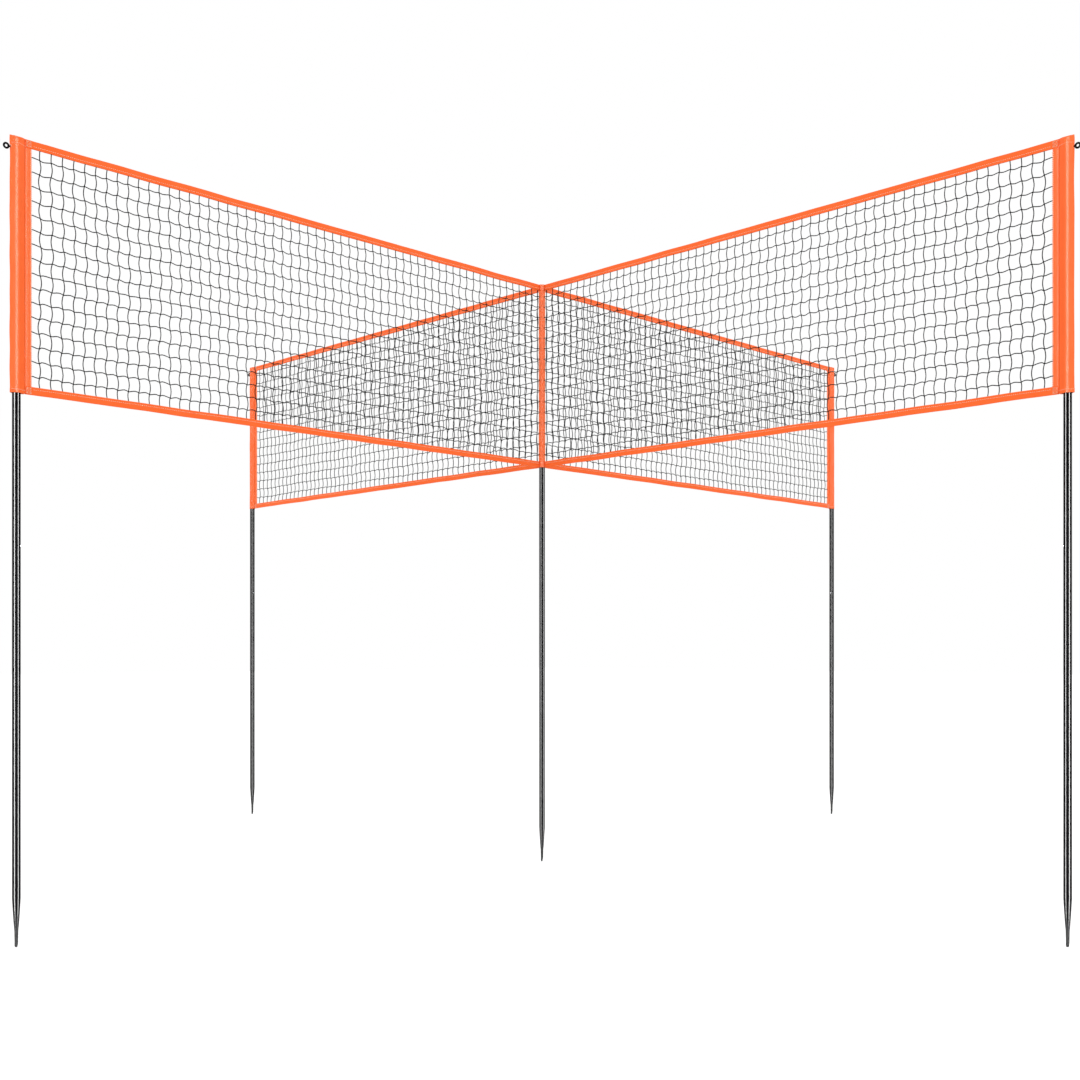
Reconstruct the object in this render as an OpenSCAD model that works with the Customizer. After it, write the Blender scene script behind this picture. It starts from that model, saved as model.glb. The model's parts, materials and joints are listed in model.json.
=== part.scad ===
// Four-way volleyball net on five steel poles.
// The net hangs in a cross: four panels run from a centre pole to four corner poles.
// Every pole is a pushed-in ground spike, a middle tube and an upper tube that telescopes
// in the middle tube and locks with a sprung snap button, so the net's height can be set.
// Millimetres. Origin on the ground under the centre pole, +Z up, net panels along X and Y.

/* [Court] */
// Distance from the centre pole's axis to each corner pole's axis
arm_len = 2000; // [1200:10:3000]
// Height of the net's top edge above the spikes' tips, at the lowest setting
net_top = 2180; // [2150:10:2500]
// Height of the net from the top tape's upper edge to the bottom tape's lower edge
net_band = 690; // [500:10:740]

/* [Pole tubes] */
// Outside diameter of the ground and middle sections
lower_od = 22; // [20:0.5:26]
// Wall thickness of every tube
tube_wall = 1.2; // [0.8:0.1:1.5]
// Gap all round between the middle section's bore and the upper tube
slide_gap = 0.3; // [0.2:0.05:0.5]
// Height at which the ground section ends and the middle section starts
section_z = 700; // [400:10:900]
// Length of the swaged spigot that holds the two sections together
spigot_len = 80; // [50:5:110]
// Length over which the tube draws in to the spigot
swage_len = 12; // [8:1:20]
// Gap all round between the spigot and the middle section's bore
spigot_gap = 0.1; // [0.05:0.05:0.2]
// How far the middle section reaches into the net's sleeve at the lowest setting
sleeve_overlap = 40; // [20:5:80]
// Small chamfer on the tube ends
end_chamfer = 0.4; // [0.2:0.1:0.6]

/* [Ground spike] */
// Length of the part that tapers from the full tube to the tip
spike_len = 130; // [100:5:180]
// Height of the slim neck above the tip
neck_len = 45; // [30:5:60]
// Diameter where the taper meets the neck
neck_d = 10.5; // [8:0.5:12]
// Diameter of the neck just above the tip
neck_low_d = 9.2; // [7:0.2:10]
// Diameter of the blunt tip
tip_d = 6; // [4:0.2:7]
// Height of the slanted cut on one side of the tip
tip_bevel = 15; // [8:1:20]
// How full the taper is: 1 is a straight cone, less is fuller
taper_power = 0.8; // [0.6:0.05:1]

/* [Height setting] */
// Number of lock holes in the middle section
hole_count = 7; // [3:1:7]
// Distance from one lock hole to the next
hole_pitch = 60; // [40:5:60]
// Distance from the highest lock hole to the middle section's end
hole_margin = 90; // [60:5:110]
// Length of the upper tube below its snap button
tail_len = 40; // [25:5:60]
// Diameter of the snap button
button_d = 7; // [6:0.5:8]
// How far the button stands proud of the middle section
button_proud = 2.2; // [1.5:0.1:3]
// Height of the dome on the button's end
button_dome = 1.2; // [0.8:0.1:1.5]
// Diameter of the button's flange inside the tube
flange_d = 10; // [9:0.5:10.5]
// Thickness of the button's flange
flange_t = 1.2; // [0.8:0.1:1.5]
// Gap all round between the button and its hole in the upper tube
button_gap = 0.1; // [0.05:0.01:0.1]
// Gap all round between the button and a lock hole
lock_gap = 0.25; // [0.2:0.05:0.4]

/* [Snap spring] */
// Thickness of the hairpin's steel strip
spring_t = 0.6; // [0.4:0.1:0.8]
// Width of the strip
spring_w = 5; // [4:0.5:6]
// Height of the hairpin above the button's axis
spring_rise = 42; // [30:2:60]
// Length of strip below the button's axis
spring_drop = 7; // [5:1:10]
// Radius of the hairpin's bend
spring_bend = 1.6; // [1.2:0.2:2.5]

/* [Guy eye] */
// Outside diameter of the eye's ring
eye_od = 18; // [16:1:24]
// Diameter of the ring's wire
eye_wire = 5.5; // [4:0.5:6]
// Diameter of the eye's shank
shank_d = 5; // [4:0.5:6]
// Distance of the eye below the net's top edge
eye_drop = 31; // [28:1:50]
// Diameter of the shoulder that bears on the tube
shoulder_d = 9; // [8:0.5:10]
// Thickness of that shoulder
shoulder_t = 1.5; // [1:0.1:2]
// Width of the nut across its flats
nut_flats = 8; // [7:0.5:8]
// Thickness of the nut
nut_t = 4; // [3:0.5:4]
// Length of shank beyond the nut
shank_end = 2; // [1:0.5:3]

/* [Pole cap] */
// Thickness of the cap's head
cap_head = 4; // [3:0.5:5]
// Rounding of the head's edge
cap_round = 2; // [1:0.5:2.5]
// Distance kept between the cap's plug and the guy eye's shank
plug_clear = 3; // [2:0.5:5]

/* [Sleeves and tapes] */
// Thickness of one layer of the sewn fabric
fabric_t = 1; // [0.8:0.1:1.2]
// Gap all round between the middle section and a sleeve
sleeve_gap = 0.5; // [0.4:0.1:1]
// Distance from a corner pole's axis to the sleeve's outer fold
fold_reach = 18; // [17:0.5:24]
// Distance from a corner pole's axis to the sleeve's seam
seam_reach = 24; // [23:0.5:30]
// Width of the sewn band on the seam
seam_w = 17; // [12:1:25]
// Visible height of the net's top and bottom tapes
tape_h = 22; // [18:1:30]
// Depth of the fold in a tape that takes the netting's edge
tape_fold = 14; // [10:1:16]

/* [Netting] */
// Diameter of the netting's cord
cord_d = 2.5; // [1.5:0.1:3]
// Meshes along one panel
mesh_columns = 15; // [8:1:15]
// Meshes up one panel
mesh_rows = 5; // [3:1:5]

/* [Clearances] */
// Gap between sewn pieces that lie against each other
sewn_gap = 0.3; // [0.2:0.05:0.4]
// Gap between the netting's cord and the tape's fold
cord_gap = 0.2; // [0.1:0.05:0.3]
// Gap between steel pieces that are fitted together
fit_gap = 0.05; // [0.03:0.01:0.1]

/* [Hidden] */
$fn = 64;

// The five places of a pole, as turns of 90 degrees about the centre
EAST = 0;
NORTH = 1;
WEST = 2;
SOUTH = 3;
CENTRE = 4;
POLE_TURN = [0, 90, 180, 270, 180];
POLE_REACH = [arm_len, arm_len, arm_len, arm_len, 0];

// Tubes
lower_r = lower_od / 2;
bore_r = lower_r - tube_wall;
upper_r = bore_r - slide_gap;
upper_bore_r = upper_r - tube_wall;
spigot_r = bore_r - spigot_gap;

// Heights
net_bottom = net_top - net_band;
middle_top = net_bottom + sleeve_overlap;
lock_top_z = middle_top - hole_margin;
button_z = lock_top_z - (hole_count - 1) * hole_pitch;
upper_bottom = button_z - tail_len;
cap_top = net_top - fabric_t - sewn_gap;
upper_top = cap_top - cap_head;
eye_z = net_top - eye_drop;
plug_low = eye_z + shank_d / 2 + plug_clear;

// Snap button, as distances from the pole's axis
button_tip = lower_r + button_proud;
flange_seat = sqrt(pow(upper_bore_r, 2) - pow(flange_d / 2, 2)) - lock_gap;
flange_back = flange_seat - flange_t;

// Snap spring: the fixed leg lies on the far wall, the sprung leg behind the button
leg_far = sqrt(pow(upper_bore_r - fit_gap, 2) - pow(spring_w / 2, 2)) - spring_t / 2;
leg_near = flange_back - fit_gap - spring_t / 2;
pad_rise = flange_d / 2;

// Guy eye, as distances from the pole's axis
ring_mid_r = (eye_od - eye_wire) / 2;
ring_reach = fold_reach + sewn_gap + eye_od / 2;
nut_seat = upper_r + fit_gap;
shank_far = nut_seat + nut_t + shank_end;

// Sleeves
sleeve_r = lower_r + sleeve_gap;
fold_r = fabric_t;
seam_t = 3 * fabric_t;

// Tapes and netting
tape_t = cord_d + 2 * cord_gap + 2 * fabric_t;
band_in = sleeve_r + fabric_t + cord_gap;
band_out = band_in + fabric_t;
panel_from = band_out + sewn_gap;
panel_to = arm_len - seam_reach - seam_w - sewn_gap;
tape_to = arm_len - seam_reach - sewn_gap;
fold_hold = tape_h - tape_fold;
netting_low = net_bottom + fold_hold + cord_gap;
netting_high = net_top - fold_hold - cord_gap;

TAPER_STEPS = 8;
DOME_STEPS = 6;
FOLD_STEPS = 6;

// Radius of the spike at a share of the taper, from the neck (0) to the full tube (1)
function taper_r(share, low, high) = low + (high - low) * pow(share, taper_power);

// The spike's taper as points of a half section, with both radii drawn in by inset
function taper_points(inset) = [
    for (i = [0 : TAPER_STEPS])
        let (share = i / TAPER_STEPS)
        [
            taper_r(share, neck_d / 2, lower_r) - inset,
            neck_len + share * (spike_len - neck_len)
        ]
];

// A quarter ellipse from (r, z) up to (r - in, z + up), as points of a half section
function shoulder_points(r, z, in, up, steps) = [
    for (i = [0 : steps])
        let (a = 90 * i / steps)
        [r - in * (1 - cos(a)), z + up * sin(a)]
];

// Unit direction from point a to point b
function heading(a, b) = (b - a) / norm(b - a);

// The left-hand side of a strip of half thickness h along a list of points
function strip_side(path, h) = [
    for (i = [0 : len(path) - 1])
        let (
            before = heading(path[max(i - 1, 0)], path[max(i, 1)]),
            after = heading(path[min(i, len(path) - 2)], path[min(i + 1, len(path) - 1)]),
            along = (before + after) / norm(before + after),
            stretch = 1 / (along * before)
        )
        path[i] + h * stretch * [-along[1], along[0]]
];

// A list from its last item to its first
function reversed(list) = [for (i = [len(list) - 1 : -1 : 0]) list[i]];

// The outline of a strip of thickness t along a list of points
function strip_outline(path, t) = concat(
    strip_side(path, t / 2),
    reversed(strip_side(path, -t / 2))
);

// The points of a round of radius r about (x, 0), from angle a to angle b
function round_points(x, r, a, b, steps) = [
    for (i = [0 : steps])
        let (angle = a + (b - a) * i / steps)
        [x + r * cos(angle), r * sin(angle)]
];

// The outline of fabric drawn round a pole of radius r and pinched at both ends:
// a small round of radius tip at out_x, the big round, and another small round at in_x
function sleeve_outline(r, out_x, out_tip, in_x, in_tip) =
    let (
        a_out = acos((r - out_tip) / out_x),
        a_in = 180 - acos((r - in_tip) / in_x),
        round_r = r / cos((a_in - a_out) / FOLD_STEPS / 2)
    )
    concat(
        round_points(out_x, out_tip, -a_out, a_out, FOLD_STEPS),
        round_points(0, round_r, a_out, a_in, FOLD_STEPS),
        round_points(-in_x, in_tip, a_in, 360 - a_in, FOLD_STEPS),
        round_points(0, round_r, 360 - a_in, 360 - a_out, FOLD_STEPS)
    );

// Puts its children at a pole, with local +X pointing away from the centre of the net
module at_pole(place) {
    rotate([0, 0, POLE_TURN[place]])
        translate([POLE_REACH[place], 0, 0])
            children();
}

// Turns its children so that +Z becomes the direction the snap button points in
module along_button() {
    translate([0, 0, button_z])
        rotate([0, -90, 0])
            children();
}

// Turns its children so that +Z becomes the direction the guy eye points in
module along_eye() {
    translate([0, 0, eye_z])
        rotate([0, 90, 0])
            children();
}

// A tube with its wall turned as a half section, chamfered at both ends
module tube(outer_r, inner_r, low, high) {
    c = end_chamfer;
    rotate_extrude()
        polygon([
            [inner_r, low], [outer_r - c, low], [outer_r, low + c],
            [outer_r, high - c], [outer_r - c, high], [inner_r, high]
        ]);
}

// Bottom section: steel tube, swaged to a slim spike below and to a spigot above
module ground_section() {
    cavity = [for (p = taper_points(tube_wall)) if (p[1] > neck_len + spike_len / 10) p];
    color("#1b1b1d")
    difference() {
        rotate_extrude()
            polygon(concat(
                [[0, 0], [tip_d / 2, 0], [neck_low_d / 2, tip_d / 2], [neck_low_d / 2, tip_bevel]],
                taper_points(0),
                [
                    [lower_r, section_z - end_chamfer], [lower_r - end_chamfer, section_z],
                    [spigot_r, section_z],
                    [spigot_r, section_z + spigot_len - end_chamfer],
                    [spigot_r - end_chamfer, section_z + spigot_len], [0, section_z + spigot_len]
                ]
            ));
        rotate_extrude()
            polygon(concat(
                [[0, cavity[0][1] - 2 * tube_wall]],
                cavity,
                [
                    [bore_r, section_z - swage_len], [spigot_r - tube_wall, section_z],
                    [spigot_r - tube_wall, section_z + spigot_len + 1], [0, section_z + spigot_len + 1]
                ]
            ));
        tip_cut();
    }
}

// The slanted cut that gives the spike its one-sided point
module tip_cut() {
    rotate([0, 0, -45])
        rotate([90, 0, 0])
            linear_extrude(height = lower_od, center = true)
                polygon([
                    [tip_d / 4, -1], [tip_d / 4, 0], [neck_low_d / 2, tip_bevel],
                    [neck_low_d, tip_bevel], [neck_low_d, -1]
                ]);
}

// Middle section: the tube that the upper tube slides in, with its row of lock holes
module middle_section() {
    color("#1b1b1d")
    difference() {
        tube(lower_r, bore_r, section_z, middle_top);
        for (i = [0 : hole_count - 1])
            translate([0, 0, i * hole_pitch])
                along_button()
                    cylinder(r = button_d / 2 + lock_gap, h = lower_od);
    }
}

// Upper tube: slides in the middle section and stands in the net's sleeve
module upper_tube(eye) {
    color("#202023")
    difference() {
        tube(upper_r, upper_bore_r, upper_bottom, upper_top);
        along_button()
            cylinder(r = button_d / 2 + button_gap, h = lower_od);
        if (eye)
            along_eye()
                cylinder(r = shank_d / 2 + fit_gap, h = 2 * lower_od, center = true);
    }
}

// Snap button: a domed steel stud with a flange that keeps it in the upper tube
module snap_button() {
    color("#a8abb0")
    along_button()
        rotate_extrude()
            polygon(concat(
                [[0, flange_back], [flange_d / 2, flange_back], [flange_d / 2, flange_seat]],
                [[button_d / 2, flange_seat]],
                shoulder_points(button_d / 2, button_tip - button_dome, button_d / 2,
                    button_dome, DOME_STEPS)
            ));
}

// Snap spring: a hairpin of steel strip inside the upper tube that pushes the button out
module snap_spring() {
    bend_x = leg_far - spring_bend;
    path = concat(
        [[leg_far, -spring_drop]],
        [
            for (i = [0 : DOME_STEPS])
                let (a = 180 * i / DOME_STEPS)
                [bend_x + spring_bend * cos(a), spring_rise + spring_bend * sin(a)]
        ],
        [[-leg_near, pad_rise], [-leg_near, -spring_drop]]
    );
    color("#8f9298")
    translate([0, 0, button_z])
        rotate([90, 0, 0])
            linear_extrude(height = spring_w, center = true)
                polygon(strip_outline(path, spring_t));
}

// Pole cap: a plastic plug that closes the upper tube and carries the sleeve's closed top
module pole_cap() {
    plug_r = upper_bore_r - fit_gap;
    color("#111113")
    rotate_extrude()
        polygon(concat(
            [[0, plug_low], [plug_r - end_chamfer, plug_low], [plug_r, plug_low + end_chamfer]],
            [[plug_r, upper_top], [upper_r, upper_top]],
            shoulder_points(upper_r, cap_top - cap_round, cap_round, cap_round, DOME_STEPS),
            [[0, cap_top]]
        ));
}

// Guy eye: a ring on a threaded shank that goes right through the upper tube
module guy_eye() {
    color("#4a4c50")
    union() {
        translate([ring_reach, 0, eye_z])
            rotate([90, 0, 0])
                rotate_extrude()
                    translate([ring_mid_r, 0])
                        circle(d = eye_wire);
        along_eye() {
            translate([0, 0, -shank_far])
                cylinder(d = shank_d, h = shank_far + ring_reach - ring_mid_r);
            translate([0, 0, upper_r + fit_gap])
                cylinder(d = shoulder_d, h = shoulder_t);
        }
    }
}

// The nut that holds a guy eye, on the far side of the tube
module eye_nut() {
    along_eye()
        translate([0, 0, -nut_seat - nut_t])
            difference() {
                cylinder(r = nut_flats / 2 / cos(30), h = nut_t, $fn = 6);
                translate([0, 0, -1])
                    cylinder(r = shank_d / 2 + fit_gap, h = nut_t + 2);
            }
}

// The four nuts, one on each guy eye
module eye_nuts() {
    color("#7d8086")
    for (place = [EAST : SOUTH])
        at_pole(place)
            eye_nut();
}

// Corner sleeve: a flat fabric pocket, closed at the top, with a sewn band on its seam
module corner_sleeve() {
    outer = sleeve_outline(sleeve_r + fabric_t, fold_reach - fold_r, fold_r,
        seam_reach - seam_t / 2, seam_t / 2);
    inner = sleeve_outline(sleeve_r, fold_reach - 2 * fabric_t, fabric_t / 4,
        seam_reach - seam_t, fabric_t / 4);
    color("#ff6a38")
    difference() {
        union() {
            translate([0, 0, net_bottom])
                linear_extrude(height = net_band)
                    polygon(outer);
            translate([-seam_reach - seam_w, -seam_t / 2, net_bottom + tape_h + sewn_gap])
                cube([seam_w + seam_t, seam_t, net_band - 2 * (tape_h + sewn_gap)]);
        }
        translate([0, 0, net_bottom - 1])
            linear_extrude(height = net_band + 1 - fabric_t)
                polygon(inner);
        along_eye()
            cylinder(r = shank_d / 2 + sewn_gap, h = 2 * fold_reach);
    }
}

// Centre sleeve: a round fabric pocket, closed at the top
module centre_sleeve() {
    color("#ff6a38")
    difference() {
        translate([0, 0, net_bottom])
            cylinder(r = sleeve_r + fabric_t, h = net_band);
        translate([0, 0, net_bottom - 1])
            cylinder(r = sleeve_r, h = net_band + 1 - fabric_t);
    }
}

// Centre band: the tape sewn round the centre sleeve where four tapes meet
module centre_band(low) {
    color("#ff8a5c")
    translate([0, 0, low])
        difference() {
            cylinder(r = band_out, h = tape_h);
            translate([0, 0, -1])
                cylinder(r = band_in, h = tape_h + 2);
        }
}

// Net tape: fabric folded over the netting's edge, open towards the netting
module net_tape() {
    fold_w = cord_d + 2 * cord_gap;
    color("#ff6a38")
    translate([panel_from, 0, 0])
        rotate([90, 0, 90])
            linear_extrude(height = tape_to - panel_from)
                difference() {
                    translate([-tape_t / 2, 0])
                        square([tape_t, tape_h]);
                    translate([-fold_w / 2, -1])
                        square([fold_w, tape_fold + 1]);
                }
}

// Tape along a panel's upper edge
module top_tape() {
    translate([0, 0, net_top - tape_h])
        net_tape();
}

// Tape along a panel's lower edge, its fold turned up
module bottom_tape() {
    translate([0, 0, net_bottom + tape_h])
        mirror([0, 0, 1])
            net_tape();
}

// Netting: a panel of crossed cords, held in the tapes' folds at its upper and lower edge
module netting() {
    column = (panel_to - panel_from - cord_d) / mesh_columns;
    row = (netting_high - netting_low - cord_d) / mesh_rows;
    color("#3a3a3e")
    translate([panel_from, 0, netting_low])
        rotate([90, 0, 0])
            linear_extrude(height = cord_d, center = true)
                difference() {
                    square([panel_to - panel_from, netting_high - netting_low]);
                    for (i = [0 : mesh_columns - 1], j = [0 : mesh_rows - 1])
                        translate([i * column + cord_d, j * row + cord_d])
                            square([column - cord_d, row - cord_d]);
                }
}

// Puts its children on one of the four arms, which runs out along local +X
module on_arm(place) {
    rotate([0, 0, POLE_TURN[place]])
        children();
}

// Puts a ground section under a pole; every spike's slanted cut faces the same way
module under_pole(place) {
    translate([
        POLE_REACH[place] * cos(POLE_TURN[place]), POLE_REACH[place] * sin(POLE_TURN[place]), 0
    ])
        children();
}

under_pole(EAST) ground_section();  // ground_section_east
under_pole(NORTH) ground_section();  // ground_section_north
under_pole(WEST) ground_section();  // ground_section_west
under_pole(SOUTH) ground_section();  // ground_section_south
under_pole(CENTRE) ground_section();  // ground_section_centre
at_pole(EAST) middle_section();  // middle_section_east
at_pole(NORTH) middle_section();  // middle_section_north
at_pole(WEST) middle_section();  // middle_section_west
at_pole(SOUTH) middle_section();  // middle_section_south
at_pole(CENTRE) middle_section();  // middle_section_centre
at_pole(EAST) upper_tube(true);  // upper_tube_east
at_pole(NORTH) upper_tube(true);  // upper_tube_north
at_pole(WEST) upper_tube(true);  // upper_tube_west
at_pole(SOUTH) upper_tube(true);  // upper_tube_south
at_pole(CENTRE) upper_tube(false);  // upper_tube_centre
at_pole(EAST) snap_button();  // snap_button_east
at_pole(NORTH) snap_button();  // snap_button_north
at_pole(WEST) snap_button();  // snap_button_west
at_pole(SOUTH) snap_button();  // snap_button_south
at_pole(CENTRE) snap_button();  // snap_button_centre
at_pole(EAST) snap_spring();  // snap_spring_east
at_pole(NORTH) snap_spring();  // snap_spring_north
at_pole(WEST) snap_spring();  // snap_spring_west
at_pole(SOUTH) snap_spring();  // snap_spring_south
at_pole(CENTRE) snap_spring();  // snap_spring_centre
at_pole(EAST) pole_cap();  // pole_cap_east
at_pole(NORTH) pole_cap();  // pole_cap_north
at_pole(WEST) pole_cap();  // pole_cap_west
at_pole(SOUTH) pole_cap();  // pole_cap_south
at_pole(CENTRE) pole_cap();  // pole_cap_centre
at_pole(EAST) guy_eye();  // guy_eye_east
at_pole(NORTH) guy_eye();  // guy_eye_north
at_pole(WEST) guy_eye();  // guy_eye_west
at_pole(SOUTH) guy_eye();  // guy_eye_south
eye_nuts();
at_pole(EAST) corner_sleeve();  // sleeve_east
at_pole(NORTH) corner_sleeve();  // sleeve_north
at_pole(WEST) corner_sleeve();  // sleeve_west
at_pole(SOUTH) corner_sleeve();  // sleeve_south
centre_sleeve();  // sleeve_centre
centre_band(net_top - tape_h);  // centre_band_top
centre_band(net_bottom);  // centre_band_bottom
on_arm(EAST) top_tape();  // top_tape_east
on_arm(NORTH) top_tape();  // top_tape_north
on_arm(WEST) top_tape();  // top_tape_west
on_arm(SOUTH) top_tape();  // top_tape_south
on_arm(EAST) bottom_tape();  // bottom_tape_east
on_arm(NORTH) bottom_tape();  // bottom_tape_north
on_arm(WEST) bottom_tape();  // bottom_tape_west
on_arm(SOUTH) bottom_tape();  // bottom_tape_south
on_arm(EAST) netting();  // netting_east
on_arm(NORTH) netting();  // netting_north
on_arm(WEST) netting();  // netting_west
on_arm(SOUTH) netting();  // netting_south
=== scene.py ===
"""Looks of a four-way volleyball net on five steel poles.

The solids of the poles, snap buttons, pole caps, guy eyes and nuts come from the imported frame
and get their finishes here. The cloth, the netting and the snap springs are worked out here
as surfaces of two parameters: fabric sleeves round the poles, folded tapes along the net's
edges, bands round the centre, the sewing on all of them, four panels of knotted netting, and
hairpins of steel strip.

Metres. Each arm of the cross has a local frame with +X pointing away from the centre pole,
+Y to the left of that and +Z up.
"""

import json
import logging
import math
from dataclasses import dataclass, replace
from enum import Enum
from typing import Dict, List, Optional, Sequence, Tuple, Union

import bpy
import numpy as np
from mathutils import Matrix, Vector

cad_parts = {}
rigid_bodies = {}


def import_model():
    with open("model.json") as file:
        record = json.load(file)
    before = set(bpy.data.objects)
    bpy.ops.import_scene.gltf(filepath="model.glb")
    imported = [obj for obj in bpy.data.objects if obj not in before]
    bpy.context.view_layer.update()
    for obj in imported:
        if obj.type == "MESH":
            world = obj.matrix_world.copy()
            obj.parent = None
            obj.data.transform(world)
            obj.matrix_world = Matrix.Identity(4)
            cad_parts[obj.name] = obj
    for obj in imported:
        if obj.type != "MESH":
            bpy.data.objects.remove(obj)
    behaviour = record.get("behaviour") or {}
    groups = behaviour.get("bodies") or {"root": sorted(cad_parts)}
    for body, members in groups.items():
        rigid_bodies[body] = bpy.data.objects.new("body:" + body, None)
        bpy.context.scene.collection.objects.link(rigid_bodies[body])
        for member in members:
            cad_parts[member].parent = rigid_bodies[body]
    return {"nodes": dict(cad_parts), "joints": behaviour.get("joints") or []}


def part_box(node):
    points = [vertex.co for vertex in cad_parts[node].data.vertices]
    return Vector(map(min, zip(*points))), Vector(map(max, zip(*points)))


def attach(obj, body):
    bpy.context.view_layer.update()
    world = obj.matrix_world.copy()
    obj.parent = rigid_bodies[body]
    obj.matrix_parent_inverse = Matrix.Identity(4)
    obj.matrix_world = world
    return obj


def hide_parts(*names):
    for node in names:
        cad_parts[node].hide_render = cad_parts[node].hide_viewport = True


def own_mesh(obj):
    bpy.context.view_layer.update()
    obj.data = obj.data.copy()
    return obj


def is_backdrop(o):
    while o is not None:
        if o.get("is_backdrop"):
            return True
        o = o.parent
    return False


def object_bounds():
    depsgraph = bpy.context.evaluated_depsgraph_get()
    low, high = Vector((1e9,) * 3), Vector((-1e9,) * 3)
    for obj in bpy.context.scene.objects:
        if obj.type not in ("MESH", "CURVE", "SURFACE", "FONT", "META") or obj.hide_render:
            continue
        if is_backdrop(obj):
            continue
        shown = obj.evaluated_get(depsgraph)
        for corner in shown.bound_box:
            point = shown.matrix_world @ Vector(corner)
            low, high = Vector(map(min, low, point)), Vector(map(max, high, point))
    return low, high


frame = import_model()
CAD_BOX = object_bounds()

Array = np.ndarray
Colour = Tuple[float, float, float]
Point = Tuple[float, float, float]
Socket = bpy.types.NodeSocket
Value = Union[float, Socket]
Numbers = Union[float, Array]
LOG = logging.getLogger("volleyball_net")
NET_BODY = "net_and_upper_tubes"
X_AXIS = np.array([1.0, 0.0, 0.0])
Y_AXIS = np.array([0.0, 1.0, 0.0])
Z_AXIS = np.array([0.0, 0.0, 1.0])


# ---------------------------------------------------------------------------
# Places and shapes
# ---------------------------------------------------------------------------


class Arm(Enum):
    """The four arms of the cross, by the turn of each about the centre pole, in degrees."""

    EAST = 0
    NORTH = 90
    WEST = 180
    SOUTH = 270

    @property
    def label(self) -> str:
        """The arm's name as the nodes' names end with it."""
        return self.name.lower()

    def world(self, points: Array, reach: float = 0.0) -> Array:
        """Puts local points on this arm.

        A point moves out by reach along local +X and then turns about the centre pole:
        x' = (x + reach) cos a - y sin a, and y' = (x + reach) sin a + y cos a.

        Args:
            points: local points, any shape that ends in 3.
            reach: how far out along the arm the local origin lies.

        Returns:
            The points in the object's frame, in the same shape.
        """
        turn = math.radians(self.value)
        x = points[..., 0] + reach
        y = points[..., 1]
        return np.stack(
            [
                x * math.cos(turn) - y * math.sin(turn),
                x * math.sin(turn) + y * math.cos(turn),
                points[..., 2],
            ],
            axis=-1,
        )


class Ends(Enum):
    """How the first and the last row of a grid are closed."""

    OPEN = "open"
    FAN = "fan"
    STRIP = "strip"


@dataclass
class Patch:
    """Points with four-sided and three-sided faces, and a UV in metres for each face corner."""

    points: Array
    quads: Array
    quad_uv: Array
    tris: Array
    tri_uv: Array

    @staticmethod
    def joined(parts: Sequence["Patch"]) -> "Patch":
        """Puts several patches in one, each face list moved on by the points before it.

        Args:
            parts: the patches.

        Returns:
            One patch with all their points and faces.
        """
        starts = np.cumsum([0] + [len(p.points) for p in parts[:-1]])
        return Patch(
            np.concatenate([p.points for p in parts]),
            np.concatenate([p.quads + s for p, s in zip(parts, starts)]),
            np.concatenate([p.quad_uv for p in parts]),
            np.concatenate([p.tris + s for p, s in zip(parts, starts)]),
            np.concatenate([p.tri_uv for p in parts]),
        )

    def on(self, arm: Arm, reach: float = 0.0) -> "Patch":
        """The same patch with its points moved from an arm's local frame to the object's."""
        return replace(self, points=arm.world(self.points, reach))


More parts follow.
